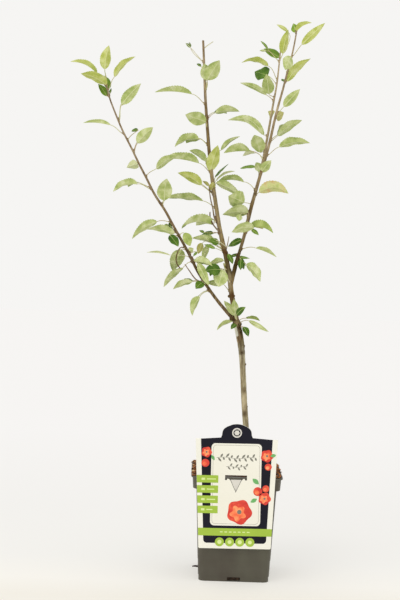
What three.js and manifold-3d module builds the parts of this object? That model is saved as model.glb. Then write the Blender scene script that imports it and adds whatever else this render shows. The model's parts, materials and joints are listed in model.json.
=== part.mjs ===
// A young dwarf apple tree in a square nursery pot, with the grower's card hooked over the rim.
//
// Units are millimetres. +Z is up, +X is to the right and +Y points away from the front, where
// the card hangs. The origin is the centre of the pot's flat underside.
//
// The tree is a trunk with a graft swelling, three limbs that leave it near the same height, and
// one side shoot. The foliage is a set of uneven solids, one for each cluster of leaves: every
// leaf in a cluster is a lobe that starts on its limb and ends where the leaf's tip is.

import * as THREE from 'three';
import { mergeVertices } from 'three/addons/utils/BufferGeometryUtils.js';
import Module from 'manifold-3d';

const wasm = await Module();
wasm.setup();

// ---------------------------------------------------------------------------------------------
// Driving dimensions
// ---------------------------------------------------------------------------------------------

const clearance = 0.3; // the gap that neighbours keep where they touch

// The pot: a tapered square tub with a flanged rim and a turned-down skirt.
const potHeight = 217;
const potFootHalf = 70; // half the width of the foot band
const footBandHeight = 10;
const bodyLowHalf = 71; // half the body's width just above the foot band
const bodyHighHalf = 82; // and just under the flange
const potWall = 1.6;
const potFloor = 3;
const flangeThick = 3.6;
const skirtHeight = 23;
const skirtTopHalf = 89.5;
const skirtLowHalf = 88;
const rimHalf = 92.5; // half the width over the rim's bead
const cornerLow = 11; // radius of the upright corners at the foot
const cornerHigh = 17; // and at the rim
const cornerSteps = 3;
const notchWidth = 26; // drainage notches in the middle of each bottom edge
const notchHeight = 9;
const notchReach = 15;

// The compost and the bark mulch on top of it.
const soilTop = 204;
const mulchThick = 9;
const mulchUneven = 2.2;
const mulchLumps = [13, 11, 5]; // the lengths of its lumps, over 2 pi
const mulchMiddle = [52, 26]; // the half widths of the rings of its top

// The card: a tapered sheet with a scalloped head, a toothed slot and a pushed-in flap.
const cardThick = 0.8;
const cardBottom = 73.5;
const cardTop = 295;
const cardLowHalf = 72.7;
const cardHighHalf = 82.4;
const cardCentre = -2.5;
const cardTilt = THREE.MathUtils.degToRad(0.7);
const headHalf = 31;
const headShoulder = 311;
const domeHalf = 16;
const cardPeak = 325;
const slotHalf = 22;
const slotLow = 212;
const slotHigh = 222;
const flapHalf = 10.7;
const flapTip = 187.5;
const flapPush = THREE.MathUtils.degToRad(5);
const flapCut = 1.5; // the width of the cut round the flap, at its tip
const toothRise = 5; // the slot's tooth: how far it stands up, and its two edges from the end
const toothEdges = [3.5, 4.5, 8.5];

// A root tip that has grown out through the side of the pot.
const rootHeight = 22;
const rootLength = 12;
const rootRadius = 1.9;
const rootForward = 43.4; // how far it is in front of the pot's middle
const rootSides = 7;

// The wood. Each route runs from a limb's foot to its tip.
const limbSides = 6;
const trunk = {
  route: [[24, 0, 204.3], [20.5, 0, 260], [17, 0, 310], [11.8, 0, 362], [7.8, 0, 414],
    [3, 0, 466], [-1.5, 0, 495], [-6.5, 0, 512], [-11, 0, 528]],
  footRadius: 7, tipRadius: 6.8, steps: 15, level: ['foot', 'tip'],
  flare: 3.4, flareHeight: 16, swelling: 1.9, swellingAt: 500, swellingSpread: 36,
};
const leader = {
  route: [[-11, 0, 528.3], [-15.5, 1.5, 548], [-20, 3.5, 571], [-23.5, 5, 591], [-27, 8, 618],
    [-33, 10, 642], [-36, 11, 659], [-39, 12.5, 673], [-45.5, 14, 693], [-51, 16, 713],
    [-54.5, 18, 737], [-59.5, 20, 759], [-64.5, 22.5, 788], [-70.5, 26, 823], [-78, 30, 876],
    [-82.5, 34, 919], [-87, 38, 960], [-90.5, 41, 1002], [-93.5, 45, 1044], [-96, 48, 1081],
    [-98, 50, 1106]],
  footRadius: 6.4, tipRadius: 2.6, steps: 18, level: ['foot'],
};
const leftBough = {
  route: [[-6, 0, 514], [-18, -3.5, 533], [-30, -5, 543], [-54, -10, 570], [-76, -15, 600],
    [-96.5, -20, 630], [-107, -24, 652], [-121, -28, 677], [-140, -34, 707], [-151, -37, 726],
    [-164, -41, 750], [-180, -44.5, 769], [-192, -48, 789], [-201, -52, 809],
    [-218.5, -57, 839], [-237, -64, 876], [-249, -67, 895], [-260, -71.5, 922],
    [-272, -75, 945], [-281.5, -80, 970], [-287.5, -83, 985], [-289, -85, 1000]],
  footRadius: 4.1, tipRadius: 1.7, steps: 16, level: [],
};
const rightBough = {
  route: [[-19.5, 1, 575], [-18.5, 3, 598], [-17.5, 5, 618], [-16.5, 7, 640], [-13.5, 8, 652],
    [-8.5, 9.5, 667], [0.5, 12.5, 700], [5.5, 15, 725], [10.5, 18, 750], [20.5, 22, 791],
    [26, 24.5, 813], [31, 26.5, 837], [36, 27, 850], [40.5, 24.5, 864], [45, 17, 893],
    [48.5, 12, 907], [57.5, -2, 959], [65.7, -11, 990], [70.5, -18, 1014], [77, -28, 1045],
    [83.5, -37, 1070], [88.2, -46, 1107], [89.3, -50, 1116]],
  footRadius: 5.6, tipRadius: 1.7, steps: 18, level: [],
  swelling: -1.6, swellingAt: 677, swellingSpread: 26,
};
const innerShoot = {
  route: [[31, 26.5, 838], [36, 31.5, 864], [40.5, 40, 895], [45.5, 49, 925], [53, 64, 978],
    [60.5, 77, 1022], [64.2, 89, 1066], [67, 99, 1099]],
  footRadius: 3.4, tipRadius: 1.75, steps: 10, level: [],
};
const limbs = { trunk, leader, left_bough: leftBough, right_bough: rightBough,
  inner_shoot: innerShoot };

// The foliage. Each lobe is the room of one leaf with its stalk:
// [height where it leaves the limb, clock, reach, back], where clock is its direction in degrees
// from straight up with + to the right, reach is the distance to its tip, and back is how many
// degrees it leans away from the front (or towards it, if negative).
const lobeHalfWidth = 12;
const lobeHalfThick = 8;
const lobeFacets = [5, 3]; // round a lobe, and along it
const sheathThick = 4.5; // how thickly each mass wraps its limb
const sheathThinnest = 0.55; // the share of that at the wrapping's two ends
const sheathEnd = 9; // how far the wrapping runs on past its lowest and highest leaves
const sheathFacets = 5;
const limbEnds = [0.01, 0.985]; // the shares of a limb at which a wrapping counts as at its end
const masses = {
  leaves_left_tip: { limb: leftBough, lobes: [[990, -59, 84, -14], [996, 4, 72, -12],
    [979, 36, 88, 10], [969, -55, 55, -30], [980, 5, 60, 50]] },
  leaves_left_high: { limb: leftBough, lobes: [[921, 27, 84, -7], [897, -77, 94, 6],
    [908, -20, 55, -50], [884, -1, 36, 55]] },
  leaves_left_middle: { limb: leftBough, lobes: [[861, 33, 63, -23], [837, -75, 71, 57],
    [850, 60, 55, -55]] },
  leaves_left_bend: { limb: leftBough, lobes: [[790, -96, 89, -10], [813, 53, 74, 28],
    [757, 0, 66, -37], [775, -60, 55, 50]] },
  leaves_left_low: { limb: leftBough, lobes: [[725, -113, 95, -12], [705, -86, 62, 9],
    [697, 147, 55, -65], [715, 80, 50, 45]] },
  leaves_left_hanging: { limb: leftBough, lobes: [[654, -86, 123, 35], [668, -136, 97, 56],
    [645, -130, 91, 23]] },
  leaves_left_foot: { limb: leftBough, lobes: [[604, -105, 68, 13], [600, -121, 40, -60],
    [587, -144, 68, -21]] },
  leaves_leader_tip: { limb: leader, lobes: [[1061, -46, 53, 0], [1000, 21, 72, -29],
    [1048, -50, 37, 54], [1020, 60, 55, 50]] },
  leaves_leader_high: { limb: leader, lobes: [[973, -79, 109, 3], [923, -64, 58, -31],
    [942, 73, 75, 19], [950, -10, 60, -60]] },
  leaves_leader_middle: { limb: leader, lobes: [[888, -96, 71, -8], [846, -55, 64, 33],
    [832, 15, 61, -29], [832, -75, 102, 8], [861, 53, 78, 7]] },
  leaves_leader_low: { limb: leader, lobes: [[786, -62, 91, -16], [759, -82, 106, 8],
    [804, 33, 71, 34], [798, 46, 87, 48], [800, 110, 67, -22]] },
  leaves_heart_left: { limb: leader, lobes: [[729, -103, 86, -24], [706, -97, 60, 42],
    [679, -80, 71, -16], [675, -102, 73, -38], [700, 80, 50, 60]] },
  leaves_heart_low: { limb: leader, lobes: [[638, -80, 69, -12], [630, -91, 63, -47],
    [609, -96, 49, 11], [588, -81, 61, 40]] },
  leaves_inner_tip: { limb: innerShoot, lobes: [[1076, 9, 74, -12], [1076, -6, 74, -8],
    [1073, -41, 62, 19]] },
  leaves_inner_high: { limb: innerShoot, lobes: [[1033, -67, 83, -10], [1024, -54, 73, 38],
    [993, -22, 65, -44], [987, -63, 79, 4], [1010, 20, 60, 60]] },
  leaves_inner_low: { limb: innerShoot, lobes: [[911, -68, 89, 6], [876, -41, 59, -49],
    [950, -5, 54, 69]] },
  leaves_outer_tip: { limb: rightBough, lobes: [[1111, 55, 39, -15], [1065, 43, 98, 6],
    [1059, -144, 53, -58], [1085, -10, 50, -55]] },
  leaves_outer_high: { limb: rightBough, lobes: [[1016, 47, 71, -12], [1012, -3, 40, 61],
    [956, 44, 66, -9], [970, 60, 60, -60], [938, 41, 70, 60]] },
  leaves_right_fork: { limb: rightBough, lobes: [[898, 55, 83, 10], [870, 74, 98, -12],
    [860, -81, 84, 10]] },
  leaves_right_bough: { limb: rightBough, lobes: [[833, -17, 51, -61], [829, -71, 52, 35],
    [788, 88, 70, -8], [797, -82, 84, 7], [815, 40, 60, 60]] },
  leaves_right_low: { limb: rightBough, lobes: [[765, -100, 58, -43], [748, -96, 65, -27],
    [710, 91, 64, -28], [735, 60, 55, 55]] },
  leaves_heart_right: { limb: rightBough, lobes: [[680, -97, 42, 57], [674, 100, 80, 7],
    [656, 92, 58, 60], [647, 127, 68, -22], [647, 158, 47, -72]] },
  leaves_fork: { limb: trunk, lobes: [[516, -32, 67, -48], [518, 87, 62, 34],
    [512, 101, 68, -13], [518, -110, 48, 25], [508, -100, 48, -60], [512, -10, 60, 62]] },
};

// ---------------------------------------------------------------------------------------------
// Solids: three.js makes the shapes, manifold joins and cuts them
// ---------------------------------------------------------------------------------------------

function signedVolume(positions, triangles) {
  const [a, b, c] = [new THREE.Vector3(), new THREE.Vector3(), new THREE.Vector3()];
  let sum = 0;
  for (let i = 0; i < triangles.length; i += 3) {
    a.fromArray(positions, 3 * triangles[i]);
    b.fromArray(positions, 3 * triangles[i + 1]);
    c.fromArray(positions, 3 * triangles[i + 2]);
    sum += a.dot(b.cross(c)) / 6;
  }
  return sum;
}

function toSolid(geometry) {
  const bare = geometry.clone();
  bare.deleteAttribute('normal');
  bare.deleteAttribute('uv');
  const merged = mergeVertices(bare, 1e-4);
  const positions = new Float32Array(merged.attributes.position.array);
  const triangles = [];
  for (let i = 0; i < merged.index.count; i += 3) {
    const [a, b, c] = [0, 1, 2].map((corner) => merged.index.getX(i + corner));
    if (a !== b && b !== c && c !== a) triangles.push(a, b, c);
  }
  if (signedVolume(positions, triangles) < 0) triangles.reverse();
  return new wasm.Manifold(new wasm.Mesh({
    numProp: 3, vertProperties: positions, triVerts: new Uint32Array(triangles),
  }));
}

function toGeometry(solid) {
  const mesh = solid.getMesh();
  const geometry = new THREE.BufferGeometry();
  geometry.setAttribute('position', new THREE.BufferAttribute(mesh.vertProperties, 3));
  geometry.setIndex(new THREE.BufferAttribute(mesh.triVerts, 1));
  geometry.computeVertexNormals();
  return geometry;
}

// A cut can leave a crumb behind, so the largest body is the one that counts.
function largestBody(solid) {
  return solid.decompose().reduce((best, body) => (body.volume() > best.volume() ? body : best));
}

// ---------------------------------------------------------------------------------------------
// The pot, its filling, the card and the root tip
// ---------------------------------------------------------------------------------------------

function cornerRadius(height) {
  return THREE.MathUtils.lerp(cornerLow, cornerHigh, height / potHeight);
}

// Turns a profile of (half width, height) points into a solid with a rounded square plan: each
// ring of a LatheGeometry is laid out again as a square with four corner arcs.
function squareLathe(profile, moveHeight = (x, y, height) => height) {
  const ringPoints = 4 * (cornerSteps + 1);
  const geometry = new THREE.LatheGeometry(profile, ringPoints);
  const position = geometry.attributes.position;
  const origin = new THREE.Vector2();
  for (let i = 0; i < position.count; i += 1) {
    const half = Math.hypot(position.getX(i), position.getZ(i));
    const height = position.getY(i);
    const share = Math.atan2(position.getZ(i), position.getX(i)) / (2 * Math.PI);
    const k = (Math.round(share * ringPoints) + ringPoints) % ringPoints;
    const quadrant = Math.floor(k / (cornerSteps + 1));
    const corner = Math.min(cornerRadius(height), half);
    const turn = ((k % (cornerSteps + 1)) / cornerSteps + quadrant) * (Math.PI / 2);
    const point = new THREE.Vector2(half - corner, half - corner)
      .rotateAround(origin, quadrant * (Math.PI / 2))
      .add(new THREE.Vector2(Math.cos(turn), Math.sin(turn)).multiplyScalar(corner));
    position.setXYZ(i, point.x, point.y, moveHeight(point.x, point.y, height));
  }
  return geometry;
}

function bodyHalf(height) {
  const share = (height - footBandHeight) / (potHeight - footBandHeight);
  return THREE.MathUtils.lerp(bodyLowHalf, bodyHighHalf, share);
}

const points = (list) => list.map(([half, height]) => new THREE.Vector2(half, height));

function potSolid() {
  const underFlange = potHeight - flangeThick;
  const skirtLow = underFlange - skirtHeight;
  const shell = toSolid(squareLathe(points([
    [0, 0], [potFootHalf - 1, 0], [potFootHalf, 1], [potFootHalf, footBandHeight - 1],
    [bodyHalf(footBandHeight), footBandHeight], [bodyHalf(underFlange), underFlange],
    [skirtTopHalf - potWall, underFlange], [skirtLowHalf - potWall, skirtLow],
    [skirtLowHalf, skirtLow], [skirtTopHalf, underFlange], [rimHalf, underFlange],
    [rimHalf, potHeight - 1], [rimHalf - 1, potHeight], [bodyHalf(potHeight), potHeight],
    [bodyHalf(potHeight) - potWall, potHeight - 1.5],
    [bodyHalf(potFloor) - potWall, potFloor], [0, potFloor],
  ])));
  const notch = new THREE.BoxGeometry(notchWidth, 2 * notchReach, 2 * notchHeight);
  return [0, 1, 2, 3].reduce((pot, side) => {
    const cutter = notch.clone().translate(0, -potFootHalf, 0).rotateZ(side * (Math.PI / 2));
    return pot.subtract(toSolid(cutter));
  }, shell);
}

const insideHalf = (height) => bodyHalf(height) - potWall - clearance;

function soilSolid() {
  const low = potFloor + clearance;
  return toSolid(squareLathe(points([
    [0, low], [insideHalf(low), low], [insideHalf(soilTop - clearance), soilTop - clearance],
    [0, soilTop - clearance],
  ])));
}

// The mulch has a lumpy top, high enough at the edge to spill a little onto the rim.
function mulchSolid() {
  const low = soilTop;
  const high = soilTop + mulchThick;
  const lump = (x, y) => mulchUneven
    * (Math.sin(x / mulchLumps[0] + 1) * Math.cos(y / mulchLumps[1])
      + 0.4 * Math.sin(y / mulchLumps[2]));
  const profile = points([
    [0, low], [insideHalf(low), low], [insideHalf(high) - 1, high - 2],
    [mulchMiddle[0], high], [mulchMiddle[1], high + 1], [0, high + 1],
  ]);
  const lumpy = (x, y, height) => (height > low + 1 ? height + lump(x, y) : height);
  return toSolid(squareLathe(profile, lumpy)).subtract(limbSolid(trunk, clearance));
}

function cardOutline() {
  const shape = new THREE.Shape();
  shape.moveTo(-cardLowHalf, cardBottom);
  shape.lineTo(cardLowHalf, cardBottom);
  shape.lineTo(cardHighHalf, cardTop);
  shape.lineTo(headHalf + 2, cardTop);
  shape.quadraticCurveTo(headHalf, headShoulder, domeHalf, headShoulder + 5);
  shape.quadraticCurveTo(domeHalf / 2, cardPeak, 0, cardPeak);
  shape.quadraticCurveTo(-domeHalf / 2, cardPeak, -domeHalf, headShoulder + 5);
  shape.quadraticCurveTo(-headHalf, headShoulder, -headHalf - 2, cardTop);
  shape.lineTo(-cardHighHalf, cardTop);
  shape.closePath();
  return shape;
}

// The slot has a small tooth at each side, and runs on into the cut round the flap.
function slotOutline() {
  const slot = new THREE.Path();
  const [low, middle, high] = toothEdges.map((edge) => slotHalf - edge);
  const toothTop = slotLow + toothRise;
  const half = [[slotHalf, slotHigh], [slotHalf, slotLow], [low, slotLow],
    [middle, toothTop], [high, toothTop], [flapHalf + 0.8, slotLow]];
  slot.moveTo(...half[0]);
  half.slice(1).forEach(([x, z]) => slot.lineTo(x, z));
  slot.lineTo(0, flapTip - flapCut);
  half.reverse().forEach(([x, z]) => slot.lineTo(-x, z));
  slot.closePath();
  return slot;
}

function cardSolid() {
  const sheet = { depth: cardThick, bevelEnabled: false, curveSegments: 6 };
  const outline = cardOutline();
  outline.holes.push(slotOutline());
  const flap = new THREE.Shape(points([[-flapHalf, slotLow], [0, flapTip], [flapHalf, slotLow]]));
  const flapSheet = new THREE.ExtrudeGeometry(flap, sheet)
    .translate(0, -slotLow, 0).rotateX(flapPush).translate(0, slotLow, 0);
  // What is left of the sheet over the flap's fold, between the slot's two teeth.
  const bridge = new THREE.BoxGeometry(2 * (slotHalf - toothEdges[2] + 1.5), 2, cardThick)
    .translate(0, slotLow - 0.4, cardThick / 2);
  const flat = toSolid(new THREE.ExtrudeGeometry(outline, sheet))
    .add(toSolid(flapSheet)).add(toSolid(bridge));
  // Stood up in front of the rim: the sheet's own +Z becomes -Y, and its front face looks out.
  const place = new THREE.Matrix4().makeTranslation(cardCentre, -rimHalf - clearance, slotLow)
    .multiply(new THREE.Matrix4().makeRotationY(-cardTilt))
    .multiply(new THREE.Matrix4().makeRotationX(Math.PI / 2))
    .multiply(new THREE.Matrix4().makeTranslation(0, -slotLow, 0));
  return flat.transform(place.toArray());
}

function rootSolid() {
  const start = bodyHalf(rootHeight) + clearance + rootLength / 2;
  const taper = new THREE.CylinderGeometry(rootRadius, rootRadius * 0.6, rootLength, rootSides);
  return toSolid(taper.rotateZ(Math.PI / 2).translate(-start, -rootForward, rootHeight));
}

// ---------------------------------------------------------------------------------------------
// The wood
// ---------------------------------------------------------------------------------------------

const back = new THREE.Vector3(0, 1, 0);

for (const limb of Object.values(limbs)) {
  const route = limb.route.map((point) => new THREE.Vector3(...point));
  limb.curve = new THREE.CatmullRomCurve3(route, false, 'centripetal');
}

function limbRadius(limb, share, height) {
  const rise = (height - limb.route[0][2]) / (limb.flareHeight ?? 1);
  const bulge = (height - (limb.swellingAt ?? 0)) / (limb.swellingSpread ?? 1);
  return THREE.MathUtils.lerp(limb.footRadius, limb.tipRadius, share)
    + (limb.flare ?? 0) * Math.exp(-rise) + (limb.swelling ?? 0) * Math.exp(-bulge * bulge);
}

// A unit cylinder, bent along a limb's curve with its radius taken from a function. Its two ends
// run on past the curve by overrun.
function bentCylinder(curve, radiusAt, steps, sides, overrun, level = []) {
  const geometry = new THREE.CylinderGeometry(1, 1, 1, sides, steps);
  const position = geometry.attributes.position;
  for (let i = 0; i < position.count; i += 1) {
    const share = THREE.MathUtils.clamp(position.getY(i) + 0.5, 0, 1);
    const [atFoot, atTip] = [share < 1e-6, share > 1 - 1e-6];
    const tangent = curve.getTangentAt(share);
    const centre = curve.getPointAt(share)
      .addScaledVector(tangent, overrun * (Number(atTip) - Number(atFoot)));
    const right = new THREE.Vector3().crossVectors(back, tangent).normalize();
    const radius = radiusAt(share, centre.z);
    const point = centre.clone()
      .addScaledVector(right, radius * position.getX(i))
      .addScaledVector(back, radius * position.getZ(i));
    const isLevel = (atFoot && level.includes('foot')) || (atTip && level.includes('tip'));
    position.setXYZ(i, point.x, point.y, isLevel ? centre.z : point.z);
  }
  return geometry;
}

function limbSolid(limb, grow = 0) {
  const radiusAt = (share, height) => limbRadius(limb, share, height) + grow;
  return toSolid(bentCylinder(limb.curve, radiusAt, limb.steps, limbSides, grow, limb.level));
}

// ---------------------------------------------------------------------------------------------
// The foliage
// ---------------------------------------------------------------------------------------------

// The share of a limb's length at which it reaches a height. Every limb climbs all the way.
function shareAtHeight(limb, height) {
  let [low, high] = [0, 1];
  for (let i = 0; i < 24; i += 1) {
    const middle = (low + high) / 2;
    if (limb.curve.getPointAt(middle).z < height) low = middle;
    else high = middle;
  }
  return (low + high) / 2;
}

// One leaf's room: a flattened spindle from the limb to the leaf's tip.
function lobeSolid(limb, [height, clock, reach, lean], grow) {
  const start = limb.curve.getPointAt(shareAtHeight(limb, height));
  const turn = THREE.MathUtils.degToRad(clock);
  const tilt = THREE.MathUtils.degToRad(lean);
  const along = new THREE.Vector3(Math.sin(turn) * Math.cos(tilt), Math.sin(tilt),
    Math.cos(turn) * Math.cos(tilt));
  const wide = new THREE.Vector3().crossVectors(along, back).normalize();
  const thick = new THREE.Vector3().crossVectors(wide, along);
  const middle = start.clone().addScaledVector(along, reach / 2);
  const spindle = new THREE.SphereGeometry(1, ...lobeFacets).applyMatrix4(new THREE.Matrix4()
    .makeBasis(wide.multiplyScalar(lobeHalfWidth + grow), along.multiplyScalar(reach / 2 + grow),
      thick.multiplyScalar(lobeHalfThick + grow))
    .setPosition(middle));
  return toSolid(spindle);
}

// The wrapping that joins a mass's lobes round their limb.
function sheathSolid({ limb, lobes }, grow) {
  const heights = lobes.map(([height]) => height);
  const low = Math.max(shareAtHeight(limb, Math.min(...heights) - sheathEnd), limbEnds[0]);
  const high = Math.min(shareAtHeight(limb, Math.max(...heights) + sheathEnd), 1);
  const tip = limb.curve.getPointAt(high);
  const stretch = [0, 0.25, 0.5, 0.75, 1]
    .map((part) => limb.curve.getPointAt(low + (high - low) * part));
  const pastTip = limb.curve.getTangentAt(1).multiplyScalar(sheathEnd);
  if (high > limbEnds[1]) stretch.push(tip.clone().add(pastTip));
  const radiusAt = (share, height) => limbRadius(limb, low + (high - low) * share, height)
    + (sheathThick + grow)
      * (sheathThinnest + (1 - sheathThinnest) * Math.sin(Math.PI * share));
  const line = new THREE.CatmullRomCurve3(stretch);
  return toSolid(bentCylinder(line, radiusAt, sheathFacets, sheathFacets, grow));
}

function massSolid(mass, grow = 0) {
  const lobes = mass.lobes.map((lobe) => lobeSolid(mass.limb, lobe, grow));
  return lobes.reduce((joined, lobe) => joined.add(lobe), sheathSolid(mass, grow));
}

// ---------------------------------------------------------------------------------------------
// The object
// ---------------------------------------------------------------------------------------------

const paints = {
  pot: new THREE.MeshStandardMaterial({ color: 0x57524a, roughness: 0.62 }),
  soil: new THREE.MeshStandardMaterial({ color: 0x2b1f17, roughness: 0.95 }),
  mulch: new THREE.MeshStandardMaterial({ color: 0x7a4a25, roughness: 0.9 }),
  card: new THREE.MeshStandardMaterial({ color: 0xefeedb, roughness: 0.45 }),
  root: new THREE.MeshStandardMaterial({ color: 0x2c211f, roughness: 0.85 }),
  bark: new THREE.MeshStandardMaterial({ color: 0x7d6a4d, roughness: 0.8 }),
  leaf: new THREE.MeshStandardMaterial({ color: 0x95a95f, roughness: 0.6 }),
};

const tree = new THREE.Group();

function addMesh(name, solid, material) {
  const mesh = new THREE.Mesh(toGeometry(solid), material);
  mesh.name = name;
  tree.add(mesh);
}

addMesh('pot', potSolid(), paints.pot);
addMesh('soil', soilSolid(), paints.soil);
addMesh('mulch', mulchSolid(), paints.mulch);
addMesh('card', cardSolid(), paints.card);
addMesh('root_tip', rootSolid(), paints.root);

// Each limb is cut back where it leaves the limb that carries it.
const grownLimbs = [];
for (const [name, limb] of Object.entries(limbs)) {
  const whole = grownLimbs.reduce((rest, grown) => rest.subtract(grown), limbSolid(limb));
  addMesh(name, largestBody(whole), paints.bark);
  grownLimbs.push(limbSolid(limb, clearance));
}

// Each mass is cut round every limb, and round the masses made before it.
const grownMasses = [];
for (const [name, mass] of Object.entries(masses)) {
  const cutters = [...grownLimbs, ...grownMasses];
  const rest = cutters.reduce((solid, cutter) => solid.subtract(cutter), massSolid(mass));
  addMesh(name, largestBody(rest), paints.leaf);
  grownMasses.push(massSolid(mass, clearance));
}

export default tree;
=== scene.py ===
# %% [markdown]
# # A young dwarf apple tree in a nursery pot
#
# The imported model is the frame: it says where the pot, the card, the trunk, the boughs and the
# masses of leaves are. This lesson gives each of them the surface that the real thing has. The
# wood is grown round the frame's own limbs, the leaves grow on from the wood, and the pot, the
# bark chips and the card are modelled to the size of the solids that they stand for.
#
# Every size in this script is in millimetres until it is turned into metres by MM.

import json
import math
import random

import bmesh
import bpy
import numpy as np
from mathutils import Matrix, Vector, kdtree, noise
from mathutils.geometry import tessellate_polygon

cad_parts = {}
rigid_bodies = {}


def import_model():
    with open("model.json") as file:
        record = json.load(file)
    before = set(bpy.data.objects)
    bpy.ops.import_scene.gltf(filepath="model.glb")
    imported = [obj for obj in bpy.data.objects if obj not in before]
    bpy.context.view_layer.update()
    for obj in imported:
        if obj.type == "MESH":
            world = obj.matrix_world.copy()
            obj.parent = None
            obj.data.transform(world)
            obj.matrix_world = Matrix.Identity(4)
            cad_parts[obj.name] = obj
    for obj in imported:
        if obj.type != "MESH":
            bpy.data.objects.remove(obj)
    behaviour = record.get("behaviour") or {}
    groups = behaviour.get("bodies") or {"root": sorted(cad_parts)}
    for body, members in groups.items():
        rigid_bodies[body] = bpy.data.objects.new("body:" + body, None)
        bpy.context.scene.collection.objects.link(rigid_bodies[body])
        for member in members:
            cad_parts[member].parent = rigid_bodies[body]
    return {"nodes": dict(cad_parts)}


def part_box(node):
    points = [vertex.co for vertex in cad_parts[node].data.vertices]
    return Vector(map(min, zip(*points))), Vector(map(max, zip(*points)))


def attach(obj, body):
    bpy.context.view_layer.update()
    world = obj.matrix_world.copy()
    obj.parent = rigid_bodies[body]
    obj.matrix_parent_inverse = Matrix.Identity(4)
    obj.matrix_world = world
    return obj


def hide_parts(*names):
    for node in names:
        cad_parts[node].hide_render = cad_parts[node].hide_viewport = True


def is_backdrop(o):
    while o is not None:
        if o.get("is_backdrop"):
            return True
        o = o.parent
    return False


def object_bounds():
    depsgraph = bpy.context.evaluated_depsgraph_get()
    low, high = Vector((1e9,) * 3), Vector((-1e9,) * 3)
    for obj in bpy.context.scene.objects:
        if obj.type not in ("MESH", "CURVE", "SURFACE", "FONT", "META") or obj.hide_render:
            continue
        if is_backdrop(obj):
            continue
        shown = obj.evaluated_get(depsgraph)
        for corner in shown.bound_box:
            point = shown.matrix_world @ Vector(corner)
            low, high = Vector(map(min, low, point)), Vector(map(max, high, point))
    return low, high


MM = 0.001
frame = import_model()
cad_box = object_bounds()
masses = sorted(node for node in frame["nodes"] if node.startswith("leaves_"))
print(len(frame["nodes"]), "solids in the frame, of which", len(masses), "are masses of leaves")

# %% [markdown]
# ## The camera
#
# A tree of this size is seen best from a few paces away, through a long lens, so that its near
# and far boughs keep their true proportions. The camera stands a little to the left of the pot,
# at the height of the lowest leaves, tips down by under three degrees and is held a little
# askew. Its axes are worked out first, because then the tilt and the roll stay two plain numbers.

# %% Place the camera
CAMERA_PLACE = Vector((-86.5, -2550, 688))
CAMERA_DOWN, CAMERA_ROLL = math.radians(2.73), math.radians(1.9)
CAMERA_LENS, FILM_HIGH = 74.2, 36


def add_object(name, data):
    made = bpy.data.objects.new(name, data)
    bpy.context.scene.collection.objects.link(made)
    return made


level_right = Vector((1, 0, 0))
ahead = Vector((0, math.cos(CAMERA_DOWN), -math.sin(CAMERA_DOWN)))
upright = level_right.cross(ahead)
camera_right = level_right * math.cos(CAMERA_ROLL) + upright * math.sin(CAMERA_ROLL)
camera_up = upright * math.cos(CAMERA_ROLL) - level_right * math.sin(CAMERA_ROLL)
axes = Matrix((camera_right, camera_up, -ahead)).transposed()

camera = add_object("camera", bpy.data.cameras.new("camera"))
camera.data.sensor_fit, camera.data.sensor_height = "VERTICAL", FILM_HIGH
camera.data.lens = CAMERA_LENS
camera.matrix_world = Matrix.Translation(CAMERA_PLACE * MM) @ axes.to_4x4()
bpy.context.scene.camera = camera
print("camera at", [round(c, 3) for c in camera.location], "with a", CAMERA_LENS, "mm lens")

# %% [markdown]
# ## Colours and materials
#
# A colour is easiest to choose as the three numbers of a screen, so `screen` turns those into the
# linear numbers that Blender works in. Most natural surfaces here are one recipe: a noise, read at
# the object's own coordinates, blends a few close colours, and a second noise makes the relief.
# One function builds it, and each material then only says its own colours, scales and gloss.

# %% Colour and material helpers
def screen(*colour):
    """Blender's linear colour for a colour given as three numbers from 0 to 255."""
    return tuple(v / 12.92 if v <= 0.04045 else ((v + 0.055) / 1.055) ** 2.4
                 for v in (number / 255 for number in colour)) + (1,)


def feed(tree, node, **inputs):
    """Give a node its own settings (in small letters) and its inputs, by name or by _number.
    An input takes a value, or the output of another node."""
    for name, value in inputs.items():
        if name[0].islower():
            setattr(node, name, value)
            continue
        name = name.replace("_", " ").strip()
        socket = node.inputs[int(name) if name.isdigit() else name]
        if isinstance(value, bpy.types.NodeSocket):
            tree.links.new(value, socket)
        else:
            socket.default_value = value
    return node


def add_node(tree, kind, output=0, **inputs):
    """One output of a new node."""
    return feed(tree, tree.nodes.new(kind), **inputs).outputs[output]


def noise_at(tree, scale, detail=4.0):
    """A noise over the object's own coordinates. scale is one number, or three to stretch it."""
    place = add_node(tree, "ShaderNodeTexCoord", "Object")
    place = add_node(tree, "ShaderNodeMapping", Vector=place,
                     Scale=scale if isinstance(scale, tuple) else (scale,) * 3)
    return add_node(tree, "ShaderNodeTexNoise", "Fac", Vector=place, Scale=1, Detail=detail,
                    Roughness=0.55)


def ramp(tree, value, stops):
    """A colour ramp over a value. Each stop is a position and a colour."""
    colour = add_node(tree, "ShaderNodeValToRGB", "Color", Fac=value)
    elements = colour.node.color_ramp.elements
    while len(elements) < len(stops):
        elements.new(0.5)
    for element, (position, tone) in zip(elements, stops):
        element.position, element.color = position, screen(*tone)
    return colour


def new_material(name, roughness, gloss, **inputs):
    """A material, its tree and its shader."""
    material = bpy.data.materials.new(name)
    material.use_nodes = True
    tree = material.node_tree
    shader = feed(tree, tree.nodes["Principled BSDF"], Roughness=roughness,
                  Specular_IOR_Level=gloss, **inputs)
    return material, tree, shader


def cover(tree, shader, colour, height, depth, strength=0.6):
    """Give a shader its colour, and a relief of a depth in mm."""
    bump = add_node(tree, "ShaderNodeBump", Height=height, Distance=depth * MM, Strength=strength)
    feed(tree, shader, Base_Color=colour, Normal=bump)


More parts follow.
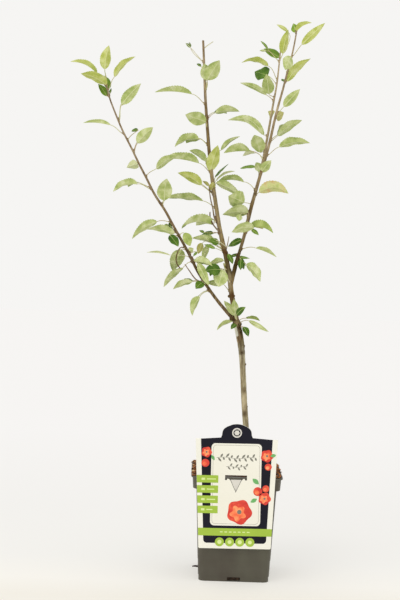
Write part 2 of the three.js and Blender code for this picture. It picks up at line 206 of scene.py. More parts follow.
def mottled(name, colours, patch, depth, grain, roughness, gloss, **inputs):
    """A surface whose colours drift from patch to patch, with a relief of fine grains. In mm."""
    material, tree, shader = new_material(name, roughness, gloss, **inputs)
    stops = [(0.32 + 0.36 * k / (len(colours) - 1), c) for k, c in enumerate(colours)]
    colour = ramp(tree, noise_at(tree, 1 / (patch * MM)), stops)
    cover(tree, shader, colour, noise_at(tree, 1 / (grain * MM)), depth)
    return material

# %% [markdown]
# ## Making and finishing a piece
#
# All the meshes here are made from shapes, which are lists of points and faces. A finished piece's
# object stays at the origin and its place is in its mesh. It rides on the frame's one body, and the
# solids that it replaces are hidden.

# %% Shape and piece helpers
def joined(shapes):
    """Several shapes' points and faces as one shape's."""
    points, faces, start = [], [], 0
    for shape_points, shape_faces in shapes:
        points.append(np.asarray(shape_points, float))
        faces += [tuple(start + corner for corner in face) for face in shape_faces]
        start += len(shape_points)
    return np.concatenate(points), faces


def ring_faces(rings, sides):
    """The faces of a closed shape of rings of points, with its two end points after them."""
    foot, top = rings * sides, (rings - 1) * sides
    faces = []
    for j in range(sides):
        k = (j + 1) % sides
        faces += [(i + j, i + k, i + sides + k, i + sides + j) for i in range(0, top, sides)]
        faces += [(foot, k, j), (foot + 1, top + j, top + k)]
    return faces


def make_piece(name, shape, materials=(), paints=None, sharp_from=None):
    """A mesh piece from a shape in mm. Faces are smooth except over edges past sharp_from."""
    points, faces = shape
    mesh = bpy.data.meshes.new(name)
    mesh.from_pydata((np.asarray(points, float) * MM).tolist(), [], [list(f) for f in faces])
    for material in materials:
        mesh.materials.append(material)
    if paints is not None:
        mesh.polygons.foreach_set("material_index", paints)
    mesh.shade_smooth()
    if sharp_from is not None:
        mesh.set_sharp_from_angle(angle=math.radians(sharp_from))
    return add_object(name, mesh)


def baked(piece):
    """The piece with its modifiers' result as its plain mesh."""
    graph = bpy.context.evaluated_depsgraph_get()
    mesh = bpy.data.meshes.new_from_object(piece.evaluated_get(graph))
    piece.modifiers.clear()
    piece.data = mesh
    mesh.name = piece.name
    return piece


def finish_piece(piece, slot, *nodes):
    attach(piece, "root")
    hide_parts(*nodes)
    triangles = sum(len(face.vertices) - 2 for face in piece.data.polygons)
    print(f"{piece.name}: {triangles} triangles")

# %% [markdown]
# ## The limbs' own lines
#
# The frame's limbs are solids, and everything grows on them, so the script needs each limb's
# centre line. It cuts the solid with level planes: the middle of each cut is a point on the line,
# and the mean distance from the line to the outline is the limb's thickness there. Where a limb is
# notched by the limb that carries it, the cut is lopsided, so the line starts above that. From
# there it runs back down and bends into its parent's own line, as the grain of the wood does.

# %% Read the limbs from the frame
CUT_EVERY, BELOW_TIP = 7.0, 0.5
SMOOTH_OVER = 2  # cuts on each side that even out the line
# For each limb: how far above its foot the cuts are whole, the limb that carries it, and how far
# its line runs back down into that one. Parents come first.
LIMB_FEET = {"trunk": (1, None, 0), "leader": (2, "trunk", 12), "left_bough": (28, "trunk", 40),
             "right_bough": (58, "leader", 75), "inner_shoot": (16, "right_bough", 22)}
BESIDE = 0.38  # how far the run stays to its own side, as a share of where the limb starts
RUN_STEPS, RUN_TAPER = 8, 0.3  # the run's points, and how much thinner it gets


def triangles_of(node):
    mesh = frame["nodes"][node].data
    mesh.calc_loop_triangles()
    corners = np.array([vertex.co for vertex in mesh.vertices]) / MM
    return corners[np.array([triangle.vertices for triangle in mesh.loop_triangles])]


def level_cut(triangles, height):
    """The outline of a solid at a height, as an array of (start, end) points."""
    stretches = []
    for triangle in triangles:
        over = triangle[:, 2] > height
        if over.all() or not over.any():
            continue
        ends = []
        for a, b in ((0, 1), (1, 2), (2, 0)):
            if over[a] != over[b]:
                share = (height - triangle[a, 2]) / (triangle[b, 2] - triangle[a, 2])
                ends.append(triangle[a] + share * (triangle[b] - triangle[a]))
        stretches.append(ends)
    return np.array(stretches)


def unit(vectors):
    return vectors / np.linalg.norm(vectors, axis=-1, keepdims=True)


def evened(values):
    """Each value averaged with its neighbours, with the two ends kept."""
    padded = np.concatenate([[values[0]] * SMOOTH_OVER, values, [values[-1]] * SMOOTH_OVER])
    shifts = [padded[k:k + len(values)] for k in range(2 * SMOOTH_OVER + 1)]
    smooth = np.mean(shifts, axis=0)
    smooth[0], smooth[-1] = values[0], values[-1]
    return smooth


def read_limb(node):
    """A limb's centre points, directions and radii, from its foot to its tip."""
    triangles = triangles_of(node)
    whole_from, parent, run_back = LIMB_FEET[node]
    low, high = triangles[:, :, 2].min() + whole_from, triangles[:, :, 2].max() - BELOW_TIP
    heights = np.linspace(low, high, int((high - low) / CUT_EVERY))
    cuts = [level_cut(triangles, height) for height in heights]
    centres = []
    for cut in cuts:
        lengths = np.linalg.norm(cut[:, 1] - cut[:, 0], axis=1)
        centres.append((cut.mean(axis=1) * lengths[:, None]).sum(axis=0) / lengths.sum())
    centres = evened(np.array(centres))
    directions = unit(np.gradient(centres, axis=0))
    radii = []
    for cut, centre, direction in zip(cuts, centres, directions):
        away = cut.mean(axis=1) - centre
        away -= np.outer(away @ direction, direction)
        radii.append(np.linalg.norm(away, axis=1).mean())
    radii = evened(np.array(radii))
    if parent:
        share = np.linspace(1, 0, RUN_STEPS, endpoint=False)[:, None]
        straight = centres[0] - share * run_back * directions[0]
        carried = np.array([limb_at(parent, point[2])[0] for point in straight])
        carried += BESIDE * (centres[0] - limb_at(parent, centres[0][2])[0])
        run = straight + (carried - straight) * share ** 3
        centres = np.concatenate([run, centres])
        directions = unit(np.gradient(centres, axis=0))
        radii = np.concatenate([radii[0] * (1 - RUN_TAPER * share[:, 0]), radii])
    return {"centres": centres, "directions": directions, "radii": radii}


def limb_at(node, height):
    """A limb's centre, direction and radius at a height."""
    limb = limbs[node]
    heights = limb["centres"][:, 2]
    centre = np.array([np.interp(height, heights, limb["centres"][:, k]) for k in range(3)])
    direction = np.array([np.interp(height, heights, limb["directions"][:, k]) for k in range(3)])
    return centre, unit(direction), float(np.interp(height, heights, limb["radii"]))


limbs = {}
for node in LIMB_FEET:
    limb = limbs[node] = read_limb(node)
    length = np.linalg.norm(np.diff(limb["centres"], axis=0), axis=1).sum()
    print(f"{node}: {length:.0f} mm long, {2 * limb['radii'][0]:.1f} mm thick at its foot and "
          f"{2 * limb['radii'][-1]:.1f} mm at its tip")

# %% [markdown]
# ## The wood
#
# The trunk and its limbs are one living surface: there is no seam where a bough leaves, only a
# thickened collar. So each limb becomes a round tube on its own line, knobs and leaf cushions are
# added where a bud or a pruning cut left one, and a voxel remesh melts them all into one skin. The
# bark's relief comes after that, because remeshing would smooth it away.

# %% Tubes, knobs and smooth lines
def tube(centres, radii, sides=18):
    """A closed round tube along a line of centres."""
    centres = np.asarray(centres, float)
    along = unit(np.gradient(centres, axis=0))
    turns = np.linspace(0, 2 * math.pi, sides, endpoint=False)
    across = np.cross(along[0], (0.3, 1, 0.2))
    points = []
    for centre, direction, radius in zip(centres, along, radii):
        across = unit(across - direction * (across @ direction))
        over = np.cross(direction, across)
        points.append(centre + radius * (np.outer(np.cos(turns), across)
                                         + np.outer(np.sin(turns), over)))
    points = np.concatenate(points + [centres[:1], centres[-1:]])
    return points, ring_faces(len(centres), sides)


def knob(place, direction, radius, length):
    """A rounded swelling that stands out from a place."""
    steps = np.linspace(-0.5, 1, 9)
    centres = np.asarray(place) + np.outer(steps * length, unit(np.asarray(direction, float)))
    return tube(centres, radius * np.sqrt(np.clip(1.02 - steps ** 2, 0.02, 1)), 12)


def through(points, count):
    """Points evenly spread along a smooth curve through a few given ones."""
    points = np.asarray(points, float)
    spans = np.concatenate([[0], np.cumsum(np.linalg.norm(np.diff(points, axis=0), axis=1))])
    slopes = np.gradient(points, spans, axis=0)
    result = []
    for along in np.linspace(0, spans[-1], count):
        k = min(np.searchsorted(spans, along, "right") - 1, len(points) - 2)
        gap = spans[k + 1] - spans[k]
        t = (along - spans[k]) / gap
        result.append((2 * t ** 3 - 3 * t ** 2 + 1) * points[k]
                      + (t ** 3 - 2 * t ** 2 + t) * gap * slopes[k]
                      + (3 * t ** 2 - 2 * t ** 3) * points[k + 1]
                      + (t ** 3 - t ** 2) * gap * slopes[k + 1])
    return np.array(result)

# %% [markdown]
# ## Where every leaf grows
#
# An apple shoot carries its leaves singly, each on its own stalk, with a bud in the angle above
# it. Each row below is one leaf, grouped by the mass of the frame that it helps to fill:
#
# - the height on the limb where its stalk leaves;
# - the stalk's clock, which is its direction in degrees from straight up, with + to the right,
#   and its length;
# - the blade's clock, length, lean (degrees away from the front, or towards it if negative) and
#   width;
# - how it is held: flat shows its pale underside to the front, tipped and edge turn it more and
#   more level, arched is level and bowed, bowed hangs in a deeper bow, skew is turned half way to
#   the front, and upper shows its dark upper face;
# - its age, which says its colours.

# %% The leaves of each mass
SPRAYS = {
    "leaves_left_tip": ("left_bough", """
    996   -4 25    10 47 -12  23 flat   fresh
    990  -39 30   -70 56 -13  17 arched fresh
    988    5  3   -71 58 -28  26 tipped fresh
    979   23 32    43 59  10  18 tipped fresh
    977    4  6   -20 35  28  16 upper  green
    970   25  5    12 11  10   5 upper  deep
    969  -90  5   -37 33  20  16 upper  green
    """),
    "leaves_left_high": ("left_bough", """
    921   10 34    42 56  -8  23 flat   mature
    897  -59 33   -87 55   6  15 edge   mature
    884   38 41   -99 19  42   8 upper  deep
    """),
    "leaves_left_middle": ("left_bough", """
    861   23 21    45 47 -22  24 flat   mature
    837  -59  8  -106 40  52  20 flat   pale
    """),
    "leaves_left_bend": ("left_bough", """
    813   48 31    55 55  28  22 tipped mature
    790  -73 30  -110 52 -10  22 arched mature
    757   25 14     6 52 -35  31 flat   mature
    """),
    "leaves_left_low": ("left_bough", """
    730  175  7   180 22  50   9 upper  deep
    725  -91 29  -127 62 -10  24 tipped mature
    705 -126  5   -84 57   8  24 tipped mature
    697  -87 21   141 33 -28  20 upper  deep
    697   60 19   153 45 -50  20 flat   green
    """),
    "leaves_left_hanging": ("left_bough", """
    668  -83 16  -160 64  40  30 flat   mature
    666   69  2    62 12 -15  12 flat   mature
    660   73 19  -138 13 -25   6 upper  green
    654  -86 55   -86 63  38  10 edge   pale
    649  112  6   103 40 -20  22 tipped mature
    645 -123 26  -137 61  22  21 tipped mature
    643   90  9   152 52 -12  18 flat   mature
    """),
    "leaves_left_foot": ("left_bough", """
    604  -90 26  -114 43  12  22 tipped mature
    600  -51 11  -131 32 -52  18 upper  deep
    587 -122 26  -160 43 -20  22 tipped mature
    """),
    "leaves_leader_tip": ("leader", """
   1061  -46 41   -50 13   0   7 upper  pale
   1061  -45 42   -13 11   5   6 upper  pale
   1048  -59 16   -45 23  58   7 upper  deep
   1002    9 21   -12 35 -20  26 flat   mature
   1000   11 25    32 51 -30  31 flat   mature
    """),
    "leaves_leader_high": ("leader", """
    973  -56 36   -89 77   3  25 edge   mature
    942   52 24    83 54  20  22 tipped mature
    923  -16 14   -76 51 -30  29 flat   mature
    """),
    "leaves_leader_middle": ("leader", """
    888  -61 24  -111 53  -8  26 arched mature
    861   53 29    52 49   8  13 tipped mature
    846  -47 15   -58 50  32  20 tipped mature
    832  -64  3    15 60 -26  27 flat   fresh
    832  -56 32   -84 73   8  30 edge   mature
    """),
    "leaves_leader_low": ("leader", """
    804   13 22    42 49  34  11 skew   deep
    800   30 12   120 64 -20  27 tipped mature
    798   17 28    60 68  48  11 edge   pale
    798  -69 12   -53 17 -20   9 tipped grey
    794  -95  5    10 20 -30  14 flat   grey
    786  -58 34   -65 56 -16  26 tipped fresh
    759  -66 31   -87 77   8  31 edge   mature
    """),
    "leaves_heart_left": ("leader", """
    729 -116 15   -97 69 -24  34 arched mature
    729  -76 41  -121 27 -20   5 upper  green
    729  -94 69  -140 17 -20   6 upper  green
    706  -96 20  -104 40  42  15 skew   deep
    706  -90 36   -70 12  20   6 upper  green
    686  -96 10   -77 24 -30  15 upper  deep
    679  -71 16   -80 55 -16  22 tipped mature
    675  -79 47  -162 24 -10  15 flat   grey
    671  -77 48  -164 45  42  14 flat   mature
    668  -73 22   -74 26 -20   8 upper  green
    662  110 12    74 23  15   7 upper  deep
    658   38  9   155 28 -35  12 upper  deep
    """),
    "leaves_heart_low": ("leader", """
    638  -37 15  -114 34 -12  16 tipped mature
    630  -87 26   -94 49 -50  26 upper  deep
    628  -88 34  -155 15 -20   9 upper  deep
    628   91  2   -41 22  20  12 flat   grey
    605  -31 33  -165 40 -28  32 flat   mature
    588  -55 24   -87 33 -10  14 flat   mature
    """),
    "leaves_inner_tip": ("inner_shoot", """
   1076   24 15    11 51 -12  20 flat   fresh
   1076   14 62   -62 28  -8   8 flat   fresh
   1073    2  9   -60 41  18  20 upper  green
   1073  -44 36   -42 25  10   6 upper  green
   1073  -51 38   -89 14  14   5 flat   mature
    """),
    "leaves_inner_high": ("inner_shoot", """
   1033  -37 35   -86 57  -9  20 arched fresh
   1024  -43 37   -68 39  42  36 upper  deep
    993  -62 19   -11 50 -40  26 flat   mature
    987  -52 20   -67 61   4  15 tipped mature
    """),
    "leaves_inner_low": ("inner_shoot", """
    950   44 11   -24 39  64  18 tipped grey
    911  -73  8   -69 82   6  18 bowed  mature
    876  -95 15   -24 53 -48  30 flat   mature
    """),
    "leaves_outer_tip": ("right_bough", """
   1112 -113  2   -19 19 -20  16 upper  fresh
   1111  -68  2    59 37 -14  17 arched fresh
   1065   38 33    45 65   6  18 flat   fresh
   1059   -3  9  -159 50 -46  24 flat   mature
    """),
    "leaves_outer_high": ("right_bough", """
   1016   74  4    45 66 -12  24 tipped fresh
   1012    8 16   -24 24  66   9 upper  deep
    956   50 19    41 48  -9  20 flat   mature
    938   21 22    51 48  60  22 flat   grey
    """),
    "leaves_right_fork": ("right_bough", """
    898   53 21    55 61  10  24 tipped mature
    870   56 32    82 64 -12  26 tipped mature
    860  -60 37   -96 55  10  34 edge   mature
    850  -31 61  -101 46  58  14 tipped pale
    """),
    "leaves_right_bough": ("right_bough", """
    834  -15  2   -33 26 -35  18 flat   mature
    833   23  2    38 35 -30  20 flat   mature
    829  -30 22   -94 38  32  16 skew   green
    797  -57 31   -96 59   6  24 arched mature
    788   60 10    91 61  -8  28 bowed  rusty
    """),
    "leaves_right_low": ("right_bough", """
    765  -72 22   -71 46 -40  38 flat   mature
    748  -57  4   -97 59 -25  34 tipped mature
    742  -80 22  -173 16 -30  14 flat   mature
    710   42 15   103 53 -25  26 arched green
    710   63 23  -103 56 -32  26 tipped mature
    709   64 15   127 20 -20   9 upper  green
    """),
    "leaves_heart_right": ("right_bough", """
    680    7 19  -119 43  42  15 upper  deep
    674   84 33   112 47   7  18 edge   mature
    664 -178  8   153 29  20  13 upper  deep
    660 -122  5    94 28   0   7 upper  deep
    656  -28  3   133 55  60  15 skew   grey
    656  114  9  -179 25 -30  12 upper  deep
    647  100 22   140 48 -20  28 tipped mature
    """),
    "leaves_fork": ("trunk", """
    527    0 20    42 43 -54  14 upper  deep
    527  -20 14   -37 51 -40  15 flat   mature
    527  -11 17    -8 47 -44  17 flat   mature
    523   69 27   101 36  35  15 edge   deep
    523  -76  8  -123 42  23  16 tipped mature
    519   71 26   117 47 -12  11 flat   mature
    515  -41 12  -133 26 -58  11 upper  deep
    511   71 16   151 29 -44  14 upper  deep
    """),
}


def heading(clock, lean):
    """The direction of a clock and a lean, as a unit vector."""
    clock, lean = math.radians(clock), math.radians(lean)
    return np.array([math.cos(lean) * math.sin(clock), math.sin(lean),
                     math.cos(lean) * math.cos(clock)])


def read_leaves(sprays):
    """Each row of the sprays as one leaf that knows its limb."""
    leaves = []
    for limb, rows in sprays.values():
        for row in rows.strip().split("\n"):
            *numbers, hold, age = row.split()
            height, stalk_clock, stalk, clock, length, lean, width = map(float, numbers)
            centre, direction, radius = limb_at(limb, height)
            leaves.append({
                "hold": hold, "age": age, "length": length, "width": width, "clock": clock,
                "lean": lean, "node": centre, "limb_way": direction, "limb_radius": radius,
                "stalk_clock": stalk_clock, "stalk_lean": lean, "stalk": stalk,
                "stalk_way": heading(stalk_clock, lean), "way": heading(clock, lean),
            })
    return leaves


leaves = read_leaves(SPRAYS)
assert set(SPRAYS) == set(masses), "every mass of the frame has its leaves"
print(len(leaves), "leaves have their place, on", len(SPRAYS), "masses")

# %% [markdown]
# ## Partner leaves
#
# A shoot carries leaves all the way round it, and those listed above are mostly the ones that a
# viewer at the front can tell apart. The rule below gives the shoot the rest: most of the broad
# leaves that show their flat to the front get a partner from the next node, which leans well away
# behind them, so the gaps between the clusters stay open.

# %% Grow the partner leaves by a seeded rule
dice = random.Random(27)
BROAD, FACING, PARTNER_SHARE = 22, 40, 0.8  # which leaves have partners: mm, degrees, share
LEAST_TURN = 15  # a partner leans back by more than this, or is left out
FAR_SIDE = cad_box[1].y / MM + 6  # no partner's tip goes further back than this
# The ranges that the dice choose from, against the leaf that has the partner: more clock, length,
# more lean of the stalk, the blade's own lean, width, and the way on to the next node.
MORE_CLOCK, SHORTER, MORE_LEAN = (-4, 4), (0.75, 0.9), (16, 24)
LEAN, NARROWER, NEXT_NODE = (48, 62), (0.8, 0.9), (2, 4)
MOST_STALK_LEAN = 70


def partner_of(leaf):
    """A leaf one node further on, which leans well away behind the leaf that it partners."""
    clock = leaf["clock"] + dice.uniform(*MORE_CLOCK)
    length = leaf["length"] * dice.uniform(*SHORTER)
    stalk_lean = min(MOST_STALK_LEAN, leaf["stalk_lean"] + dice.uniform(*MORE_LEAN))
    room = FAR_SIDE - leaf["node"][1] - leaf["stalk"] * math.sin(math.radians(stalk_lean))
    lean = min(dice.uniform(*LEAN), math.degrees(math.asin(min(1, max(0, room) / length))))
    age = dice.choice(["mature", "deep", "grey"])
    return dict(leaf, clock=clock, lean=lean, length=length, hold="round",
                age="fresh" if leaf["age"] == "fresh" else age,
                width=leaf["width"] * dice.uniform(*NARROWER),
                node=leaf["node"] + leaf["limb_way"] * dice.uniform(*NEXT_NODE),
                stalk_way=heading(leaf["stalk_clock"], stalk_lean), way=heading(clock, lean))


partners = []
for leaf in leaves:
    broad = leaf["hold"] in ("flat", "tipped", "arched") and leaf["width"] >= BROAD
    facing = abs(leaf["lean"]) < FACING and leaf["age"] not in ("pale", "grey")
    if broad and facing and dice.random() < PARTNER_SHARE:
        partner = partner_of(leaf)
        if partner["lean"] > leaf["lean"] + LEAST_TURN:
            partners.append(partner)
all_leaves = leaves + partners
print(len(partners), "partner leaves,", len(all_leaves), "leaves in all")

# %% [markdown]
# ## One skin of wood
#
# Small things make wood read as wood: the collar where a bough leaves, the ring-shaped knobs of
# old buds on the trunk, a stub left by a pruning cut, and the little shelf under every leaf
# stalk. They are listed one by one or follow from the leaves, and then melt into the limbs.

# %% The limbs, knobs, twigs and leaf cushions as one shape
# A knob: where it stands out, its way out, its radius and its length.
KNOBS = [
    ((-20, -4, 530), (-1, -0.3, 0.1), 4.4, 5), ((-12, -3, 517), (-1, -0.6, 0), 4.6, 5),
    ((-5, -3, 494), (-1, -0.6, 0.2), 3.6, 4.5), ((-11, 3, 542), (0.3, 1, 0.3), 4, 5),
    ((-3, 1, 519), (1, 0.3, 0.2), 4.4, 5), ((9.5, 0, 436), (1, 0, 0.3), 3.2, 4.6),
    ((6, 0, 474), (1, 0.2, 0.3), 3, 4.4), ((3, -4, 462), (-0.2, -1, 0.3), 2.8, 4),
    ((11, -4, 384), (0.3, -1, 0.2), 3, 4), ((13, -4, 334), (-0.6, -1, 0.2), 2.8, 4),
    ((17, 2, 348), (0.7, 0.8, 0.2), 3, 4), ((20, 4, 286), (0.2, 1, 0.2), 3, 4),
    ((20.5, 19, 791), (0.3, -1, 0.3), 3.6, 4.5), ((-35.5, 9, 667), (0.2, -1, 0.2), 3.2, 4),
    ((-18, 1, 577), (1, -0.2, 0.1), 3.6, 4.2), ((-26, 2, 576), (-1, -0.2, 0.1), 3.4, 4),
]
# A twig: its points, then its radius at the foot and at the tip.
TWIGS = {
    "side_stem": ([(-54, 18, 722), (-61, 16, 734), (-67, 12, 759), (-71, 10, 773),
                   (-76, 9, 801)], 2.0, 1.1),
    "dark_stub": ([(-49, 15, 706), (-57, 12, 714), (-66, 9, 725), (-71, 8, 736),
                   (-72, 8, 749)], 1.8, 1.4),
    "hanging_twig": ([(-119, -27, 672), (-128, -28, 674), (-137, -29, 658), (-136, -30, 640),
                      (-129, -28, 631)], 1.4, 1.4),
    "low_twig": ([(-80, -16, 605), (-90, -18, 606), (-112, -24, 629), (-120, -28, 640)],
                 1.7, 1.2),
    "young_spur": ([(-64, 21, 782), (-70, 16, 789), (-76, 12, 798)], 1.5, 1.2),
    "olive_spur": ([(-36, 12, 671), (-33, 8, 686), (-31, 7, 700)], 1.4, 0.9),
    "cut_snag": ([(-6, -3, 488), (-9.5, -7.5, 503), (-13.5, -9, 517)], 2.6, 2.1),
}
# How much thicker a bough's collar is, and how far it runs up; how deep leaf cushions sit, as a
# share of the limb's radius, and how they grow with it.
COLLAR_SWELL, COLLAR_RISE = 0.28, 16
CUSHION_SET, CUSHION, CUSHION_GROWTH = 0.85, 1.1, 0.22
CUSHION_DOWN, CUSHION_UPWARDS, CUSHION_LONG = 0.8, 0.5, 1.25
TWIG_POINTS = 14
wood_shapes = []
for node, limb in limbs.items():
    above_foot = limb["centres"][:, 2] - limb["centres"][0, 2]
    collar = 0 if node == "trunk" else COLLAR_SWELL
    swell = 1 + collar * np.exp(-(above_foot / COLLAR_RISE) ** 2)
    wood_shapes.append(tube(limb["centres"], limb["radii"] * swell))
wood_shapes += [knob(*facts) for facts in KNOBS]
twig_lines = {name: (through(points, TWIG_POINTS), np.linspace(foot, tip, TWIG_POINTS))
              for name, (points, foot, tip) in TWIGS.items()}
wood_shapes += [tube(line, radii, 10) for line, radii in twig_lines.values()]
for leaf in all_leaves:
    out = unit(leaf["stalk_way"] - leaf["limb_way"] * (leaf["stalk_way"] @ leaf["limb_way"]))
    leaf["out"] = out
    leaf["foot"] = leaf["node"] + out * leaf["limb_radius"] * CUSHION_SET
    size = CUSHION + CUSHION_GROWTH * leaf["limb_radius"]
    wood_shapes.append(knob(leaf["foot"] - leaf["limb_way"] * CUSHION_DOWN,
                            out + leaf["limb_way"] * CUSHION_UPWARDS, size, size * CUSHION_LONG))
print(len(wood_shapes), "tubes and knobs")

# %% [markdown]
# The bark is finished in two scales. The mesh itself carries long shallow ridges on the old wood
# and faint ones on the shoots, in proportion to how thick the limb is there, and the material
# adds the fine grain. The skin also remembers how thick its limb is, as an attribute named girth,
# because bark changes colour with age. Six more attributes mark the healed scars, the dark stains
# beside old leaf bases, small black knots, the bare cut wood, and the painted shade and painted
# light along each limb. The painted shade darkens the bark where the leaves shade it. It is deepest
# from a step at the graft, where the bark turns much darker than the stock below, up to the first
# leaves and in the heart. The painted light makes the bare lengths that stand in the light paler.

# %% How far each limb's bark is darkened by painted shade and made paler by painted light, from one height to the next
PAINTED_SHADE_ALONG = {
    "trunk": [(456, 0), (459, 0.5), (490, 0.6), (504, 1.3), (530, 1.25), (545, 0.5)],
    "leader": [(540, 0.4), (575, 0), (605, 0), (628, 0.9), (655, 0.8), (685, 0), (800, 0),
               (825, 0.18), (915, 0.18), (935, 0)],
    "left_bough": [(530, 1.2), (548, 0.25), (590, 0.4), (612, 0.95), (690, 0.45), (715, 0.1)],
    "right_bough": [(560, 0), (605, 0), (628, 1), (665, 1), (690, 0.3), (770, 0.25), (810, 0.1),
                    (900, 0)],
    "inner_shoot": [(840, 0)],
}
# painted light: the bare lengths that stand in the light are painted paler
PAINTED_LIGHT_ALONG = {  # the bare lengths that stand in the light have bleached
    "leader": [(570, 0.3), (605, 0.3), (625, 0), (690, 0), (720, 0.6), (830, 0.5), (855, 0)],
    "left_bough": [(760, 0), (900, 0.2)],
    "right_bough": [(760, 0), (805, 0.3), (960, 0.5)],
    "inner_shoot": [(840, 0.9)],
}

# %% Melt the wood together and give it its bark
VOXEL = 1.0
RIDGE = 0.055  # the bark's relief as a share of the limb's radius
OLD_WOOD = 6.0  # the radius from which the ridges are at their deepest
GIRTH_FULL = 8.0  # the radius at which the girth attribute reads 1
SNAG_EDGE = 3.6
# For each mark: how far it reaches, and its places.
MARKS = {
    "scar": (7.0, [place for place, *_ in KNOBS]),
    "stain": (8.0, [(-19, 2, 562), (-21, 3, 571), (-71, 8, 740), (-67, 9, 727), (-38, 9, 667),
                    (-21, -4, 578), *twig_lines["hanging_twig"][0][6:]]),
    "knot": (3.4, [(-5, -7, 511), (-1, -7, 503), (4, -8, 460), (12, -9, 337)]),
}


def nearest_limb_tree(samples=240):
    """A search tree over the limbs' and twigs' centre points, and each one's radius, painted shade
    and painted light.
    """
    lines = [(name, limb["centres"], limb["radii"]) for name, limb in limbs.items()]
    lines += [(name, *twig) for name, twig in twig_lines.items()]
    centres, facts = [], []
    for name, line, radii in lines:
        points = through(line, samples)
        thick = np.interp(np.linspace(0, 1, samples), np.linspace(0, 1, len(radii)), radii)
        tones = [np.interp(points[:, 2], *zip(*along.get(name, [(0, 0)])))
                 for along in (PAINTED_SHADE_ALONG, PAINTED_LIGHT_ALONG)]
        centres += list(points)
        facts += list(zip(thick, *tones))
    tree = kdtree.KDTree(len(centres))
    for k, centre in enumerate(centres):
        tree.insert(centre, k)
    tree.balance()
    return tree, np.array(facts)


def mark(name, values):
    attribute = wood.data.attributes.new(name, "FLOAT", "POINT")
    attribute.data.foreach_set("value", values)


def distance_to(spots):
    """How far each point of the bark is from the nearest of some spots."""
    return np.linalg.norm(places[:, None] - np.asarray(spots)[None], axis=2).min(axis=1)


def bark_height(place, radius):
    """How far the bark stands out at a place, as a share of the radius there."""
    x, y, z = place
    ridges = noise.turbulence(Vector((x * 0.5, y * 0.5, z * 0.09)), 2, False)
    rings = noise.noise(Vector((x * 0.05, y * 0.05, z * 0.33)))
    grain = noise.noise(Vector(place) * 0.9)
    old = min(1, radius / OLD_WOOD)
    return RIDGE * ((ridges - 0.7) * old + 0.5 * rings + 0.4 * grain)


wood = make_piece("wood", joined(wood_shapes))
melt = wood.modifiers.new("melt", "REMESH")
melt.mode, melt.voxel_size, melt.use_smooth_shade = "VOXEL", VOXEL * MM, True
baked(wood)
places = np.array([vertex.co for vertex in wood.data.vertices]) / MM
normals = np.array([vertex.normal for vertex in wood.data.vertices])
limb_tree, limb_facts = nearest_limb_tree()
radii, painted_shades, painted_lights = limb_facts[[limb_tree.find(place)[1] for place in places]].T
heights = np.array([bark_height(place, radius) for place, radius in zip(places, radii)])
places += normals * (heights * radii)[:, None]
wood.data.vertices.foreach_set("co", (places * MM).ravel())
mark("girth", np.clip(radii / GIRTH_FULL, 0, 1))
# the bark's painted shade and painted light along each limb
mark("shade", painted_shades)
mark("pale", painted_lights)
for name, (reach, spots) in MARKS.items():
    mark(name, np.exp(-(distance_to(spots) / reach) ** 2))
mark("bare", np.clip(SNAG_EDGE - distance_to(twig_lines["cut_snag"][0][4:]), 0, 1))
print(len(places), "points on the bark")

# %% [markdown]
# The bark's colour is read from the girth attribute through a ramp, and long streaks of noise
# vary it: dark ones everywhere, and pale ones where the outer skin has flaked. Small pale dots are
# lenticels, the pores that every apple shoot shows. Each mark is a mix towards its own colour.

# %% The bark's material
BLACK, WHITE = (0, 0, 0), (255, 255, 255)
# The bark's colours by girth, and the streaks that darken them.
GIRTH_COLOURS = [
    (0.10, (152, 137, 117)), (0.24, (144, 125, 98)), (0.42, (135, 114, 79)),
    (0.52, (132, 111, 71)), (0.66, (157, 139, 96)), (0.80, (174, 166, 136)),
    (0.87, (186, 181, 156)), (0.95, (150, 137, 100)), (1.0, (137, 121, 82))]
STREAKS = [(0.34, (118, 98, 84)), (0.48, (216, 208, 196)), (0.6, WHITE)]
FLAKED, PORE = (210, 192, 156), (196, 184, 150)
STREAKS_SHOW, FLAKED_SHOWS, PORES = 0.85, 0.36, 210  # shares, and how many pores in a metre
# For each mark: its colour, and how far the bark turns to it. The shade mark is painted shade and
# the pale mark is painted light.
BARK_MARKS = {"shade": ((44, 32, 0), 0.72), "pale": ((212, 194, 154), 0.4),
              "scar": ((84, 66, 38), 0.8), "stain": ((80, 50, 24), 0.85),
              "knot": ((40, 24, 8), 0.85), "bare": ((206, 204, 186), 0.92)}


def bark_material():
    material, tree, shader = new_material("bark", 0.8, 0.1)

    def attribute(name):
        return add_node(tree, "ShaderNodeAttribute", "Fac", attribute_name=name)

    def mix(before, colour, share, blend="MIX"):
        return add_node(tree, "ShaderNodeMix", 2, data_type="RGBA", blend_type=blend,
                        Factor=share, _6=before, _7=colour)

    def towards(before, colour, value, most):
        """A mix towards a colour, by up to a share, where a value says so."""
        share = add_node(tree, "ShaderNodeMath", operation="MULTIPLY", _0=value, _1=most)
        return mix(before, screen(*colour), share)

    bark = mix(ramp(tree, attribute("girth"), GIRTH_COLOURS),
               ramp(tree, noise_at(tree, (260, 260, 34), 5), STREAKS), STREAKS_SHOW, "MULTIPLY")
    flaked = ramp(tree, noise_at(tree, (90, 90, 16), 3), [(0.52, BLACK), (0.66, WHITE)])
    bark = towards(bark, FLAKED, flaked, FLAKED_SHOWS)
    for name, (colour, most) in BARK_MARKS.items():
        bark = towards(bark, colour, attribute(name), most)
    place = add_node(tree, "ShaderNodeTexCoord", "Object")
    pores = add_node(tree, "ShaderNodeTexVoronoi", "Distance", Vector=place, Scale=PORES)
    dots = ramp(tree, pores, [(0.0, WHITE), (0.10, (190, 190, 190)), (0.16, BLACK)])
    bark = mix(bark, screen(*PORE), dots)
    cover(tree, shader, bark, noise_at(tree, (900, 900, 220), 5), 0.5, 0.7)
    return material


wood.data.materials.append(bark_material())
finish_piece(wood, "bark", *LIMB_FEET)

